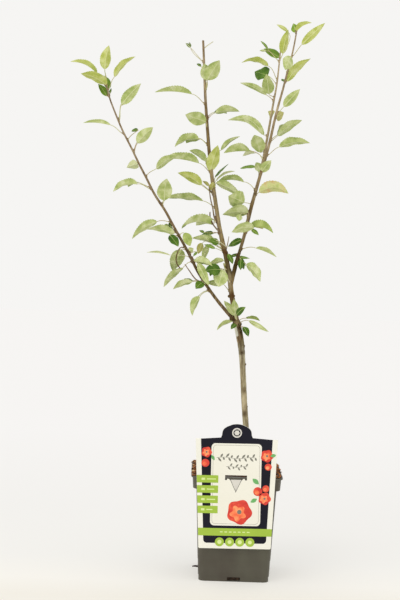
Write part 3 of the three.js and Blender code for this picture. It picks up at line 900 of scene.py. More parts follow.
# %% [markdown]
# ## The blades
#
# An apple leaf is an oval with a drawn-out tip and a saw-toothed edge. It folds up a little along
# its midrib, its edge waves, and the skin between the side veins is pleated. Its upper face is
# dark and its underside pale and downy, so the two faces need two materials. Each blade here is a
# thin closed shell on a small grid: rows run along the midrib and columns across it. The two
# columns beside the midrib make the rib itself, which stands out of the underside.

# %% The grid of one blade
BLADE_ROWS = 29
SIDE_SHARES = (1.0, 0.68, 0.33)  # where the columns lie between the margin and the rib
BLADE_COLUMNS = 2 * len(SIDE_SHARES) + 2


def blade_faces():
    """The faces of one blade's shell, and which material each takes."""
    sheet = BLADE_ROWS * BLADE_COLUMNS
    faces, paints = [], []

    def wall(start, step):
        """Side faces from one point to the next, between the two sheets."""
        faces.append((start, sheet + start, sheet + start + step, start + step))
        paints.append(1)

    for i in range(BLADE_ROWS - 1):
        for j in range(BLADE_COLUMNS - 1):
            a = i * BLADE_COLUMNS + j
            b = a + BLADE_COLUMNS
            faces.append((a, a + 1, b + 1, b))
            faces.append((sheet + b, sheet + b + 1, sheet + a + 1, sheet + a))
            paints += [2, 2] if j == len(SIDE_SHARES) else [0, 1]
        wall((i + 1) * BLADE_COLUMNS, -BLADE_COLUMNS)
        wall((i + 1) * BLADE_COLUMNS - 1, BLADE_COLUMNS)
    last = sheet - BLADE_COLUMNS
    for j in range(BLADE_COLUMNS - 1):
        wall(j, 1)
        wall(last + j + 1, -1)
    return faces, paints


BLADE_FACES, BLADE_PAINTS = blade_faces()
print(len(BLADE_FACES), "faces in a blade")

# %% [markdown]
# No two leaves are alike. Seeded dice give each blade its own fold, wave, twist, tooth depth and
# sway, all within the range of real apple leaves, and the same ones on every run.

# %% Shape each blade
TO_VIEWER = np.array([0, -1.0, 0])
# How a leaf is held: the turn of its upper face (0 faces up, 90 the front, -90 the back), how
# far its midrib bows, as a share of its length, and how far its halves fold up, in degrees.
HOLDS = {
    "flat": (-76, 0.02, 18), "tipped": (-46, 0.08, 22), "edge": (-24, 0.045, 34),
    "arched": (-34, 0.12, 34), "bowed": (-62, 0.21, 18), "upper": (70, 0.03, 16),
    "skew": (30, 0.05, 18), "round": (-36, 0.10, 20),
}
TURN_CHANGE, TWIST, FOLD_CHANGE = 7, 22, 7  # how far the dice may change these, in degrees
BOW_CHANGE, SWAY = 0.015, 0.035  # the same, as shares of the length
TOOTH, CURL, WAVE, WAVES = (0.035, 0.06), (0.05, 0.3), (0.03, 0.11), (1.5, 2.6)
THICK, NARROWEST = 0.26, 0.3
TOWARDS_STALK, TOWARDS_TIP = 0.62, 0.95  # the outline's powers
RIB_FOOT, RIB_TAPER, RIB_STANDS, RIB_SINKS = 0.62, 0.35, 0.75, 0.6
PLEAT, PLEATS, PLEAT_SLANT, PLEAT_FADE = 0.32, 7, 0.8, 1.3
STILL, FOLD_NARROWS, RIB_MOST = 0.4, 0.8, 0.3  # where the twist is nil; and shares


def blade_points(leaf, dice):
    """The points of one blade: its upper sheet, then its lower one."""
    way, length = leaf["way"], leaf["length"]
    t = np.linspace(0, 1, BLADE_ROWS)[:, None]
    side = 1 if way[0] >= 0 else -1
    level = unit(np.array([-way[2] * side, 0, way[0] * side]))
    front = unit(TO_VIEWER - way * (TO_VIEWER @ way))
    turn, bow, fold = HOLDS[leaf["hold"]]
    turn = np.radians(turn + dice.uniform(-TURN_CHANGE, TURN_CHANGE)
                      + dice.uniform(-TWIST, TWIST) * (t - STILL))
    facing = np.cos(turn) * level + np.sin(turn) * front
    sway = dice.uniform(-SWAY, SWAY)
    bow = bow + dice.uniform(-BOW_CHANGE, BOW_CHANGE)
    middle = (leaf["base"] + way * length * t + level * length * bow * np.sin(np.pi * t)
              + front * length * sway * np.sin(np.pi * t))
    along = unit(np.gradient(middle, axis=0))
    up = unit(facing - along * (facing * along).sum(axis=1, keepdims=True))
    across = np.cross(along, up)

    outline = t ** TOWARDS_STALK * (1 - t) ** TOWARDS_TIP
    half = np.maximum(leaf["width"] / 2 * outline / outline.max(), NARROWEST)
    tooth = dice.uniform(*TOOTH) * np.where(np.arange(BLADE_ROWS) % 2, 1, -1)[:, None]
    rib = np.minimum(RIB_FOOT - RIB_TAPER * t, RIB_MOST * half)
    fold = math.radians(fold + dice.uniform(-FOLD_CHANGE, FOLD_CHANGE))
    curl = dice.uniform(*CURL)
    wave, phase, waves = dice.uniform(*WAVE), dice.uniform(0, 6), dice.uniform(*WAVES)

    upper, lower = [], []
    for sign in (-1, 1):
        for share in SIDE_SHARES[::-sign]:
            out = rib + (half - rib) * share
            if share == 1:
                out = out * (1 + tooth)
            rise = out * math.tan(fold) - curl * out * share
            rise = rise + wave * half * share ** 2 * np.sin(waves * 2 * np.pi * t + phase + sign)
            rise = rise + (PLEAT * np.cos(2 * np.pi * (PLEATS * t - PLEAT_SLANT * share))
                           * share * (PLEAT_FADE - share))
            edge = middle + across * out * sign * math.cos(fold * FOLD_NARROWS) + up * rise
            upper.append(edge + up * THICK / 2)
            lower.append(edge - up * THICK / 2)
        if sign < 0:
            for rib_sign in (-1, 1):
                line = middle + across * rib * rib_sign
                upper.append(line + up * (THICK / 2 - 0.05))
                lower.append(line - up * (THICK / 2 + RIB_STANDS - RIB_SINKS * t))
    return np.concatenate([np.stack(sheet, 1).reshape(-1, 3) for sheet in (upper, lower)])

# %% [markdown]
# A stalk leaves the limb slantwise, in the way that the shoot grows, and swings round to run on
# into the midrib. Four points make a Bezier curve that does just that: the first and last are the
# stalk's two ends, and the two between them pull it along the shoot and along the blade.

# %% Grow the stalks' lines
STALK_POINTS = 9
STALK_FOOT, STALK_TIP = 0.85, 0.62  # radii in mm
PULL, RUN_ON = 0.33, 2.5  # a share of the stalk's reach, and mm into the midrib


def bezier(p0, p1, p2, p3, count):
    t = np.linspace(0, 1, count)[:, None]
    return ((1 - t) ** 3 * p0 + 3 * (1 - t) ** 2 * t * p1
            + 3 * (1 - t) * t ** 2 * p2 + t ** 3 * p3)


for leaf in all_leaves:
    leaf["base"] = leaf["node"] + leaf["stalk_way"] * leaf["stalk"]
    pull = np.linalg.norm(leaf["base"] - leaf["foot"]) * PULL
    leaf["stalk_line"] = bezier(
        leaf["foot"], leaf["foot"] + unit(leaf["out"] + leaf["limb_way"]) * pull,
        leaf["base"] - leaf["way"] * pull, leaf["base"] + leaf["way"] * RUN_ON, STALK_POINTS)
print("mean stalk", round(float(np.mean([leaf["stalk"] for leaf in all_leaves]))), "mm")

# %% [markdown]
# ## Leaf colours
#
# The blades are sorted by age, and each age is one piece with three materials: the upper face,
# the downy underside and the rib. Young leaves at the shoot tips are yellow-green, the full-grown
# ones deeper, a few that turn their backs to the light greyish or nearly white, and one has rust
# in it.

# %% The leaves' materials, by age
# For each age: the upper face's colours, the underside's colours, and the rib's.
LEAF_COLOURS = {
    "fresh": ([(104, 138, 40), (124, 158, 52), (142, 172, 68)],
              [(162, 173, 74), (186, 193, 104), (206, 210, 142)], (212, 214, 158)),
    "mature": ([(80, 112, 34), (96, 128, 44), (116, 146, 58)],
               [(152, 168, 92), (180, 190, 122), (206, 211, 162)], (208, 210, 164)),
    "green": ([(92, 122, 32), (110, 140, 44), (128, 156, 58)],
              [(140, 156, 76), (156, 170, 90), (176, 186, 112)], (160, 176, 100)),
    "deep": ([(48, 80, 14), (72, 106, 24), (102, 134, 44)],
             [(128, 146, 70), (146, 162, 84), (166, 178, 104)], (150, 166, 92)),
    "pale": ([(98, 116, 62), (112, 130, 74), (126, 142, 88)],
             [(178, 186, 126), (194, 199, 146), (209, 211, 168)], (214, 216, 176)),
    "grey": ([(98, 116, 56), (112, 128, 66), (126, 138, 80)],
             [(162, 160, 86), (178, 174, 98), (196, 190, 122)], (200, 196, 140)),
    "rusty": ([(96, 122, 44), (122, 128, 56), (150, 128, 70)],
              [(168, 180, 98), (198, 200, 136), (200, 172, 116)], (206, 202, 146)),
}


def leaf_materials(age):
    upper, under, rib = LEAF_COLOURS[age]
    return [mottled(f"leaf_{age}_upper", upper, 26, 0.12, 1.6, 0.48, 0.18),
            mottled(f"leaf_{age}_underside", under, 15, 0.1, 1.0, 0.8, 0.2,
                    Sheen_Weight=0.15, Sheen_Roughness=0.5),
            mottled(f"leaf_{age}_rib", [rib, rib], 10, 0.05, 10 / 3, 0.6, 0.3)]


dice = random.Random(5)
for age in LEAF_COLOURS:
    shapes = [(blade_points(leaf, dice), BLADE_FACES) for leaf in all_leaves if leaf["age"] == age]
    piece = make_piece(f"leaves_{age}", joined(shapes), leaf_materials(age),
                       BLADE_PAINTS * len(shapes), 50)
    finish_piece(piece, "leaf", *masses)

# %% [markdown]
# ## Stalks and buds by Geometry Nodes
#
# A hundred and more stalks all follow one rule: a thin tube along a line that tapers towards the
# blade. That is work for Geometry Nodes. The lines are given to it as plain edges that carry a
# thickness attribute, and a small tree turns each into a round tube. The stalks of the palest
# leaves are almost white, and so are three on the leader that have lost their leaves. Buds are
# the same case for instances: one bud is set on every point and turned to the way it remembers.

# %% Helpers for Geometry Nodes
def new_tree(name, **inputs):
    """A Geometry Nodes tree with named inputs, the outputs of its first node, and its last."""
    tree = bpy.data.node_groups.new(name, "GeometryNodeTree")
    tree.interface.new_socket("Geometry", in_out="INPUT", socket_type="NodeSocketGeometry")
    for label, (kind, *value) in inputs.items():
        socket = tree.interface.new_socket(label, in_out="INPUT",
                                           socket_type="NodeSocket" + kind)
        if value:
            socket.default_value = value[0]
    tree.interface.new_socket("Geometry", in_out="OUTPUT", socket_type="NodeSocketGeometry")
    return tree, tree.nodes.new("NodeGroupInput").outputs, tree.nodes.new("NodeGroupOutput")


def read_attribute(tree, name, kind):
    return add_node(tree, "GeometryNodeInputNamedAttribute", "Attribute", data_type=kind,
                    Name=name)


def finish_tree(tree, start, end, made):
    """The last nodes of every tree here: real geometry, smooth faces and one material."""
    made = add_node(tree, "GeometryNodeRealizeInstances", Geometry=made)
    made = add_node(tree, "GeometryNodeSetShadeSmooth", Geometry=made)
    made = add_node(tree, "GeometryNodeSetMaterial", Geometry=made, Material=start["Finish"])
    feed(tree, end, Geometry=made)
    return tree


def run_tree(piece, tree, **values):
    """Make the tree's result the piece's plain mesh, with its faces outwards."""
    modifier = piece.modifiers.new(tree.name, "NODES")
    modifier.node_group = tree
    for item in tree.interface.items_tree:
        if item.in_out == "INPUT" and item.name in values:
            modifier[item.identifier] = values[item.name]
    baked(piece)
    points = np.array([vertex.co for vertex in piece.data.vertices])
    piece.data.calc_loop_triangles()
    a, b, c = (points[[triangle.vertices[k] for triangle in piece.data.loop_triangles]]
               for k in range(3))
    if (a * np.cross(b, c)).sum() < 0:
        piece.data.flip_normals()


def lines_piece(name, lines, thicknesses):
    """A mesh of bare edges, one chain for each line, that carries its thickness in metres."""
    points = np.concatenate(lines) * MM
    edges, start = [], 0
    for line in lines:
        edges += [(k, k + 1) for k in range(start, start + len(line) - 1)]
        start += len(line)
    mesh = bpy.data.meshes.new(name)
    mesh.from_pydata(points.tolist(), edges, [])
    thickness = mesh.attributes.new("thickness", "FLOAT", "POINT")
    thickness.data.foreach_set("value", np.concatenate(thicknesses) * MM)
    return add_object(name, mesh)

# %% The tree that makes tubes, and the stalks
def tubes_tree():
    tree, start, end = new_tree("tubes along lines", Sides=("Int", 8), Finish=("Material",))
    curve = add_node(tree, "GeometryNodeMeshToCurve", Mesh=start["Geometry"])
    ring = add_node(tree, "GeometryNodeCurvePrimitiveCircle", Resolution=start["Sides"], Radius=1)
    skin = add_node(tree, "GeometryNodeCurveToMesh", Curve=curve, Profile_Curve=ring,
                    Scale=read_attribute(tree, "thickness", "FLOAT"), Fill_Caps=True)
    return finish_tree(tree, start, end, skin)


tubes = tubes_tree()
LEAFLESS_STALKS = [[(-97, 49, 1088), (-90, 49, 1094), (-77, 45, 1103)],
                   [(-57, -2, 691), (-49, 0, 687), (-42, 3, 682), (-34, 6, 677)],
                   [(-27, -1, 605), (-30, -4, 612), (-34, -6, 619), (-36, -7, 626), (-39, -9, 630)]]
LEAFLESS_SWELL = 1.35  # how much thicker those are
STALK_COLOURS = {"green": [(172, 150, 112), (186, 182, 126), (198, 200, 148)],
                 "pale": [(186, 178, 142), (204, 198, 160), (216, 211, 182)]}
taper = np.linspace(STALK_FOOT, STALK_TIP, STALK_POINTS)
for name, tone in (("leaf_stalks", "green"), ("pale_stalks", "pale")):
    pale = tone == "pale"
    lines = [leaf["stalk_line"] for leaf in all_leaves if (leaf["age"] == "pale") == pale]
    tapers = [taper] * len(lines)
    if pale:
        lines += [through(stalk, STALK_POINTS) for stalk in LEAFLESS_STALKS]
        tapers += [taper * LEAFLESS_SWELL] * len(LEAFLESS_STALKS)
    stalks = lines_piece(name, lines, tapers)
    finish = mottled(f"stalk_{tone}", STALK_COLOURS[tone], 30, 0.05, 10, 0.55, 0.35)
    run_tree(stalks, tubes, Sides=7, Finish=finish)
    finish_piece(stalks, "leaf", *masses)

# %% The tree that sets buds, and the buds
BUD_LONG, BUD_UP, BUD_OUT, BUD_LEAN = 4.2, 2.4, 1.2, 0.45


def buds_tree():
    tree, start, end = new_tree("buds on points", Length=("Float", 0.004),
                                Slimness=("Float", 0.46), Finish=("Material",))
    ball = add_node(tree, "GeometryNodeMeshUVSphere", Segments=8, Rings=6, Radius=0.5)
    slim = add_node(tree, "ShaderNodeCombineXYZ", X=start["Slimness"], Y=start["Slimness"], Z=1)
    size = add_node(tree, "ShaderNodeVectorMath", operation="SCALE", _0=slim,
                    Scale=start["Length"])
    turn = add_node(tree, "FunctionNodeAlignRotationToVector", axis="Z",
                    Vector=read_attribute(tree, "way", "FLOAT_VECTOR"))
    place = add_node(tree, "GeometryNodeInstanceOnPoints", Points=start["Geometry"],
                     Instance=ball, Rotation=turn, Scale=size)
    return finish_tree(tree, start, end, place)


spots = [leaf["foot"] + leaf["limb_way"] * BUD_UP + leaf["out"] * BUD_OUT for leaf in all_leaves]
ways = [unit(leaf["limb_way"] + leaf["out"] * BUD_LEAN) for leaf in all_leaves]
buds = make_piece("buds", (spots, []))
buds.data.attributes.new("way", "FLOAT_VECTOR", "POINT").data.foreach_set(
    "vector", np.concatenate(ways))
run_tree(buds, buds_tree(), Length=BUD_LONG * MM,
         Finish=mottled("bud_brown", [(110, 74, 54), (146, 110, 80)], 3, 0.1, 1, 0.7, 0.25))
finish_piece(buds, "bark", *masses)

# %% [markdown]
# ## The pot
#
# A nursery pot is a thin tub blown or moulded in one go: a foot band, flat tapering sides with
# rounded corners, and a flange at the top whose skirt turns down so that fingers can grip it. Its
# wall is a single profile taken round a rounded square, so the script lists that profile once and
# lays it out ring by ring. Its main sizes come from the frame's own pot.

# %% The pot's sizes
pot_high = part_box("pot")[1] / MM
POT_HEIGHT, RIM_HALF = pot_high.z, pot_high.x
FOOT_HALF, FOOT_BAND = 71.2, 10.0
BODY_LOW, BODY_HIGH = 72.2, 82.6
WALL, FLANGE, SKIRT = 1.6, 3.6, 23.0
SKIRT_TOP, SKIRT_LOW = 89.5, 88.0
CORNER_LOW, CORNER_HIGH = 11.0, 17.0
MOULD_LINE, POT_FLOOR = 43.0, 3.0  # a faint step where the mould parts, and the floor's top
NOTCH_WIDE, NOTCH_HIGH, NOTCH_DEEP = 26.0, 9.0, 15.0
NOTCH_LIP = 1.0  # the pot's floor runs on under each notch
CORNER_STEPS, SIDE_STEPS = 9, 8
UNDER_FLANGE = POT_HEIGHT - FLANGE
print(f"the pot is {POT_HEIGHT:.0f} mm high and {2 * RIM_HALF:.0f} mm over its rim")


def body_half(height):
    return np.interp(height, [FOOT_BAND, POT_HEIGHT], [BODY_LOW, BODY_HIGH])


def on_side(*heights, inwards=0.0):
    """Points of the profile on the tapering side."""
    return [(body_half(height) - inwards, height) for height in heights]


def square_ring(half, height, corner):
    """Points round a rounded square at a height, with even steps along its sides."""
    corner = min(corner, half)
    straight = np.linspace(-(half - corner), half - corner, SIDE_STEPS + 1)[1:-1]
    turns = np.radians(np.linspace(-90, 0, CORNER_STEPS + 1))
    points = []
    for quarter in range(4):
        side = [(x, -half) for x in straight]
        bend = [(half - corner + corner * math.cos(a), -(half - corner) + corner * math.sin(a))
                for a in turns]
        c, s = math.cos(quarter * math.pi / 2), math.sin(quarter * math.pi / 2)
        points += [(x * c - y * s, x * s + y * c, height) for x, y in side + bend]
    return points


def square_loft(profile):
    """A closed shape from a profile of (half width, height) that starts and ends on the axis."""
    rings = [square_ring(half, height,
                         np.interp(height, [0, POT_HEIGHT], [CORNER_LOW, CORNER_HIGH]))
             for half, height in profile[1:-1]]
    points = [point for ring in rings for point in ring]
    points += [(0, 0, profile[0][1]), (0, 0, profile[-1][1])]
    return points, ring_faces(len(rings), len(rings[0]))

# %% The pot's profile, its notches and its piece
pot_profile = [
    (0, 0), (66, 0), (FOOT_HALF - 1, 0), (FOOT_HALF - 0.3, 0.3), (FOOT_HALF, 1),
    (FOOT_HALF, FOOT_BAND - 1), (FOOT_HALF + 0.3, FOOT_BAND - 0.2), *on_side(12, 26),
    *on_side(MOULD_LINE, inwards=0.3), (body_half(MOULD_LINE) + 0.3, MOULD_LINE + 1.2),
    *on_side(90, 150, 188, UNDER_FLANGE), (SKIRT_TOP - WALL, UNDER_FLANGE),
    (SKIRT_LOW - WALL, UNDER_FLANGE - SKIRT + 0.4), (SKIRT_LOW - WALL + 0.5, UNDER_FLANGE - SKIRT),
    (SKIRT_LOW - 0.4, UNDER_FLANGE - SKIRT), (SKIRT_LOW, UNDER_FLANGE - SKIRT + 0.5),
    (SKIRT_TOP, UNDER_FLANGE - 0.6), (SKIRT_TOP + 0.6, UNDER_FLANGE),
    (RIM_HALF - 0.6, UNDER_FLANGE), (RIM_HALF, UNDER_FLANGE + 0.6), (RIM_HALF, POT_HEIGHT - 1),
    (RIM_HALF - 0.3, POT_HEIGHT - 0.3), (RIM_HALF - 1, POT_HEIGHT), *on_side(POT_HEIGHT),
    (body_half(POT_HEIGHT) - 1.1, POT_HEIGHT - 0.5), (body_half(POT_HEIGHT) - WALL, 215.5),
    *on_side(120, POT_FLOOR, inwards=WALL), (0, POT_FLOOR),
]
PLASTIC = [(0.3, (66, 59, 49)), (0.5, (73, 69, 57)), (0.7, (80, 78, 64))]


def pot_plastic():
    """Matt recycled plastic: a dark warm grey with a fine mould grain, scuffed lighter."""
    material, tree, shader = new_material("pot_plastic", 0.46, 0.45)
    tone = ramp(tree, noise_at(tree, (18, 18, 9), 3), PLASTIC)
    cover(tree, shader, tone, noise_at(tree, 900, 3), 0.12, 0.5)
    return material


def notch(x, y, half_x, half_y):
    """A block that cuts one notch."""
    points = [(x + i * half_x, y + j * half_y, z) for z in (NOTCH_LIP, NOTCH_HIGH)
              for j in (-1, 1) for i in (-1, 1)]
    return points, [(0, 2, 3, 1), (4, 5, 7, 6), (0, 1, 5, 4), (2, 6, 7, 3), (0, 4, 6, 2),
                    (1, 3, 7, 5)]


pot = make_piece("pot_tub", square_loft(pot_profile), [pot_plastic()], sharp_from=40)
cutter = make_piece("notch_cutter", joined(
    [notch(0, side * FOOT_HALF, NOTCH_WIDE / 2, NOTCH_DEEP) for side in (-1, 1)]
    + [notch(side * FOOT_HALF, 0, NOTCH_DEEP, NOTCH_WIDE / 2) for side in (-1, 1)]))
cut = pot.modifiers.new("drainage notches", "BOOLEAN")
cut.operation, cut.solver, cut.object = "DIFFERENCE", "EXACT", cutter
baked(pot)
bpy.data.objects.remove(cutter)
finish_piece(pot, "pot", "pot")

# %% [markdown]
# The compost inside shows only through the notches and between the chips. Its frame solid has
# the right shape, so it stays and only gets the look of dark, crumbly compost.

# %% The compost and the root tip
frame["nodes"]["soil"].data.materials.clear()
frame["nodes"]["soil"].data.materials.append(
    mottled("compost", [(26, 20, 17), (44, 34, 27), (66, 52, 40)], 5, 1.2, 3, 0.95, 0.1))

ROOT_POINTS, ROOT_RADIUS = 16, 2.1
low, high = (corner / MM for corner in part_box("root_tip"))
middle = (low + high) / 2
root_line = through([(high.x, middle.y, middle.z), (middle.x, middle.y - 0.8, middle.z + 0.7),
                     (low.x + 2, middle.y, middle.z + 0.2),
                     (low.x, middle.y + 0.6, middle.z - 0.6)], ROOT_POINTS)
root_radii = (ROOT_RADIUS * np.sqrt(np.linspace(1, 0.35, ROOT_POINTS))
              + 0.12 * np.sin(np.arange(ROOT_POINTS) * 1.9))
root = make_piece("root_end", tube(root_line, root_radii, 12), [mottled(
    "root_skin", [(30, 16, 20), (48, 28, 32), (72, 44, 44)], 3, 0.3, 1, 0.85, 0.15)])
finish_piece(root, "root", "root_tip")

# %% [markdown]
# ## Bark mulch
#
# Bark chips are torn flakes, no two the same, thrown down at random. Modelling each would be
# endless, and a bump map would not break the outline at the rim. So a few flakes are made, each
# the hull of random points in a flat box, and a Geometry Nodes tree strews them over an uneven
# bed. It runs once for each colour of chip, with its own seed, so every colour is one piece.

# %% A few flakes of bark
dice = random.Random(11)
CHIP_KINDS, CHIP_POINTS = 7, 13


def flake(name):
    """One torn chip about 1 long, lying flat: the hull of random points in a thin box."""
    mesh = bpy.data.meshes.new(name)
    shape = bmesh.new()
    wide, thick = dice.uniform(0.3, 0.6), dice.uniform(0.10, 0.24)
    for _ in range(CHIP_POINTS):
        along = dice.uniform(-0.5, 0.5)
        narrow = 1 - 0.7 * abs(2 * along) ** 2
        shape.verts.new((along, wide * narrow * dice.uniform(-0.5, 0.5),
                         thick * dice.uniform(-0.5, 0.5)))
    hull = bmesh.ops.convex_hull(shape, input=shape.verts)
    spare = {v for v in hull["geom_interior"] if isinstance(v, bmesh.types.BMVert)}
    bmesh.ops.delete(shape, geom=list(spare), context="VERTS")
    bmesh.ops.recalc_face_normals(shape, faces=shape.faces)
    shape.to_mesh(mesh)
    shape.free()
    return bpy.data.objects.new(name, mesh)


flakes = bpy.data.collections.new("flakes")
for k in range(CHIP_KINDS):
    flakes.objects.link(flake(f"flake_{k}"))

# %% The tree that strews chips
MOST_CHIPS = 60000  # to the square metre, before those that lie too near are taken away


def chips_tree():
    tree, start, end = new_tree(
        "strewn chips", Chips=("Collection",), Apart=("Float", 0.006), Seed=("Int", 0),
        Shortest=("Float", 0.008), Longest=("Float", 0.022), Tilt=("Float", 0.5),
        Finish=("Material",))
    strew = add_node(tree, "GeometryNodeDistributePointsOnFaces", distribute_method="POISSON",
                     Mesh=start["Geometry"], Distance_Min=start["Apart"],
                     Density_Max=MOST_CHIPS, Seed=start["Seed"])
    pick = add_node(tree, "GeometryNodeCollectionInfo", Separate_Children=True,
                    Collection=start["Chips"])

    def any_number(low, high, offset):
        """A random number for each chip. offset keeps the draws apart."""
        seed = add_node(tree, "ShaderNodeMath", operation="ADD", _0=start["Seed"], _1=offset)
        return add_node(tree, "FunctionNodeRandomValue", 1, _2=low, _3=high, _8=seed)

    lean = add_node(tree, "ShaderNodeMath", operation="MULTIPLY", _0=any_number(-1.0, 1.0, 1),
                    _1=start["Tilt"])
    angles = add_node(tree, "ShaderNodeCombineXYZ", X=lean, Y=any_number(-0.4, 0.4, 2),
                      Z=any_number(0.0, 6.283, 3))
    turn = add_node(tree, "FunctionNodeEulerToRotation", Euler=angles)
    place = add_node(tree, "GeometryNodeInstanceOnPoints", Points=strew, Instance=pick,
                     Pick_Instance=True, Rotation=turn,
                     Scale=any_number(start["Shortest"], start["Longest"], 4))
    return finish_tree(tree, start, end, place)

# %% The bed, and the chips' colours
mulch_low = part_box("mulch")[0] / MM
BED_HALF, BED_STEPS, BED_FOOT, BED_RISE = 79.5, 36, 0.4, 7.0
LUMPS, LUMP_SCALE, LUMP_SLICE = 3.2, 0.045, 3.7
TRUNK_CLEAR = 12.0
# For each colour of chip: its colours, its seed, how far apart the chips lie, and the shortest
# and longest chip.
CHIPS = {
    "dark": ([(52, 36, 28), (78, 54, 40), (104, 74, 54)], 3, 7.5, 8, 20),
    "brown": ([(92, 58, 36), (126, 80, 50), (150, 102, 66)], 8, 8.0, 8, 24),
    "orange": ([(150, 86, 40), (184, 112, 56), (206, 142, 82)], 21, 11.0, 7, 22),
    "tan": ([(170, 132, 88), (198, 164, 116), (216, 188, 144)], 34, 15.0, 6, 18),
}


def bed_height(x, y):
    lumps = noise.noise(Vector((x * LUMP_SCALE, y * LUMP_SCALE, LUMP_SLICE))) * LUMPS
    return mulch_low.z + BED_RISE + lumps


def grid_faces(steps, keep=lambda i, j: True):
    return [(j * steps + i, j * steps + i + 1, (j + 1) * steps + i + 1, (j + 1) * steps + i)
            for j in range(steps - 1) for i in range(steps - 1) if keep(i, j)]


def bed_shape(steps=BED_STEPS):
    """The mulch's body: an uneven square block, with its top as a grid."""
    line = np.linspace(-BED_HALF, BED_HALF, steps)
    top = [(x, y, bed_height(x, y)) for y in line for x in line]
    last = steps - 1
    edge = [(k, 0) for k in range(last)] + [(last, k) for k in range(last)]
    edge += [(last - i, last - j) for i, j in edge]
    low = [(line[i], line[j], mulch_low.z + BED_FOOT) for i, j in edge]
    low.append((0, 0, mulch_low.z + BED_FOOT))
    faces, start, count = grid_faces(steps), len(top), len(edge)
    rim = [j * steps + i for i, j in edge]
    for k in range(count):
        n = (k + 1) % count
        faces += [(start + k, start + n, rim[n], rim[k]), (start + count, start + n, start + k)]
    return top + low, faces


fines = mottled("mulch_fines", [(44, 32, 25), (72, 50, 36), (112, 76, 50)], 4, 1.5, 2.5, 0.95, 0.1)
bed = make_piece("mulch_bed", bed_shape(), [fines])
bevel = bed.modifiers.new("rounded upright edges", "BEVEL")
bevel.width, bevel.segments = 6 * MM, 2
bevel.limit_method, bevel.angle_limit = "ANGLE", math.radians(60)
baked(bed)
finish_piece(bed, "mulch", "mulch")

# %% Strew the chips
GROUND_STEPS, STREWN_OVER = 48, 1.2
RIM_IN, RIM_OUT, RIM_ENDS = 4, 2.5, 8  # where the chips on the side rims stop
# where the card's slot looks onto the bed only dark chips are strewn, as painted shade behind the
# card
SLOT_SIGHT, SLOT_SIGHT_BACK = 36, -30  # what the card's slot shows of the bed
BRIGHT_CHIPS = ("orange", "tan", "brown")
# In the pot, and on its rims: the chips' tilt, how long they are, and how far apart they lie.
TILTS, CHIP_SHARES, APART_SHARES = (0.55, 0.25), (1, 0.7), (1, 0.8)
trunk_foot = limbs["trunk"]["centres"][0]


def strewing_ground(half, keep):
    """A hidden grid to strew on, with only the cells whose middle passes keep(x, y)."""
    line = np.linspace(-half, half, GROUND_STEPS)
    points = [(x, y, max(bed_height(x, y), POT_HEIGHT if max(abs(x), abs(y)) > BED_HALF else 0)
               + STREWN_OVER) for y in line for x in line]
    return make_piece("ground", (points, grid_faces(GROUND_STEPS, lambda i, j: keep(
        (line[i] + line[i + 1]) / 2, (line[j] + line[j + 1]) / 2))))


def inside_pot(x, y):
    from_trunk = math.hypot(x - trunk_foot[0], y - trunk_foot[1])
    return max(abs(x), abs(y)) < BED_HALF - RIM_IN and from_trunk > TRUNK_CLEAR


def inside_but_painted_shade_by_slot(x, y):
    """In the pot, but not where a bright chip would show through the card's slot: only dark chips
    lie there, as painted shade behind the card.
    """
    return inside_pot(x, y) and (abs(x) > SLOT_SIGHT or y > SLOT_SIGHT_BACK)


def on_side_rims(x, y):
    return BED_HALF - RIM_IN < abs(x) < RIM_HALF - RIM_OUT and abs(y) < RIM_HALF - RIM_ENDS


chips = chips_tree()
for colour, (colours, seed, apart, shortest, longest) in CHIPS.items():
    finish = mottled(f"chip_{colour}", colours, 7, 0.5, 1.4, 0.85, 0.15)
    keep = inside_but_painted_shade_by_slot if colour in BRIGHT_CHIPS else inside_pot
    grounds = [strewing_ground(BED_HALF, keep), strewing_ground(RIM_HALF, on_side_rims)]
    parts = []
    for k, ground in enumerate(grounds):
        run_tree(ground, chips, Chips=flakes, Seed=seed + k, Apart=apart * MM * APART_SHARES[k],
                 Shortest=shortest * MM, Longest=longest * MM * CHIP_SHARES[k], Tilt=TILTS[k],
                 Finish=finish)
        parts.append(([vertex.co / MM for vertex in ground.data.vertices],
                      [tuple(face.vertices) for face in ground.data.polygons]))
        bpy.data.objects.remove(ground)
    piece = make_piece(f"chips_{colour}", joined(parts), [finish], sharp_from=35)
    finish_piece(piece, "mulch", "mulch")
for shape in list(flakes.objects):
    bpy.data.objects.remove(shape)

# %% [markdown]
# ## The card
#
# The grower's card is a stiff printed sheet that hooks over the pot's front rim by a slot and a
# flap cut in it. Print has no thickness to speak of, but its edges are crisp, so each printed
# colour is a thin slab of its own outline laid on the one below, a few hundredths of a
# millimetre each. The words and the decoration of a real card are left out: sprigs, rosettes and
# berries of our own stand in their place.

# %% Flat outlines, and slabs cut from them
CARD_CENTRE, CARD_TILT = -2.5, math.radians(0.7)
CARD_BACK, CARD_THICK = RIM_HALF + 0.3, 0.6
LAYER = 0.07  # the thickness of one printed colour
CARD_LOW, CARD_HIGH = 73.5, 295.0
CARD_LOW_HALF, CARD_HIGH_HALF = 72.7, 82.4
SLOT_HALF, SLOT_LOW, SLOT_HIGH = 22.0, 212.0, 222.0
FLAP_HALF, FLAP_TIP = 10.7, 187.5


def on_card(points):
    """Card points (across, height, out of the card) in the frame."""
    x, z, out = np.asarray(points, float).T
    rise = z - SLOT_LOW
    return np.stack([CARD_CENTRE + x * math.cos(CARD_TILT) - rise * math.sin(CARD_TILT),
                     -CARD_BACK - out,
                     SLOT_LOW + x * math.sin(CARD_TILT) + rise * math.cos(CARD_TILT)], 1)


def card_half(height):
    """Half the card's width at a height."""
    return float(np.interp(height, [CARD_LOW, CARD_HIGH], [CARD_LOW_HALF, CARD_HIGH_HALF]))


def arc(x, z, radius, start, stop, steps=8):
    """Points of an arc. Angles are in degrees, anticlockwise from +X."""
    return [(x + radius * math.cos(math.radians(a)), z + radius * math.sin(math.radians(a)))
            for a in np.linspace(start, stop, steps + 1)]


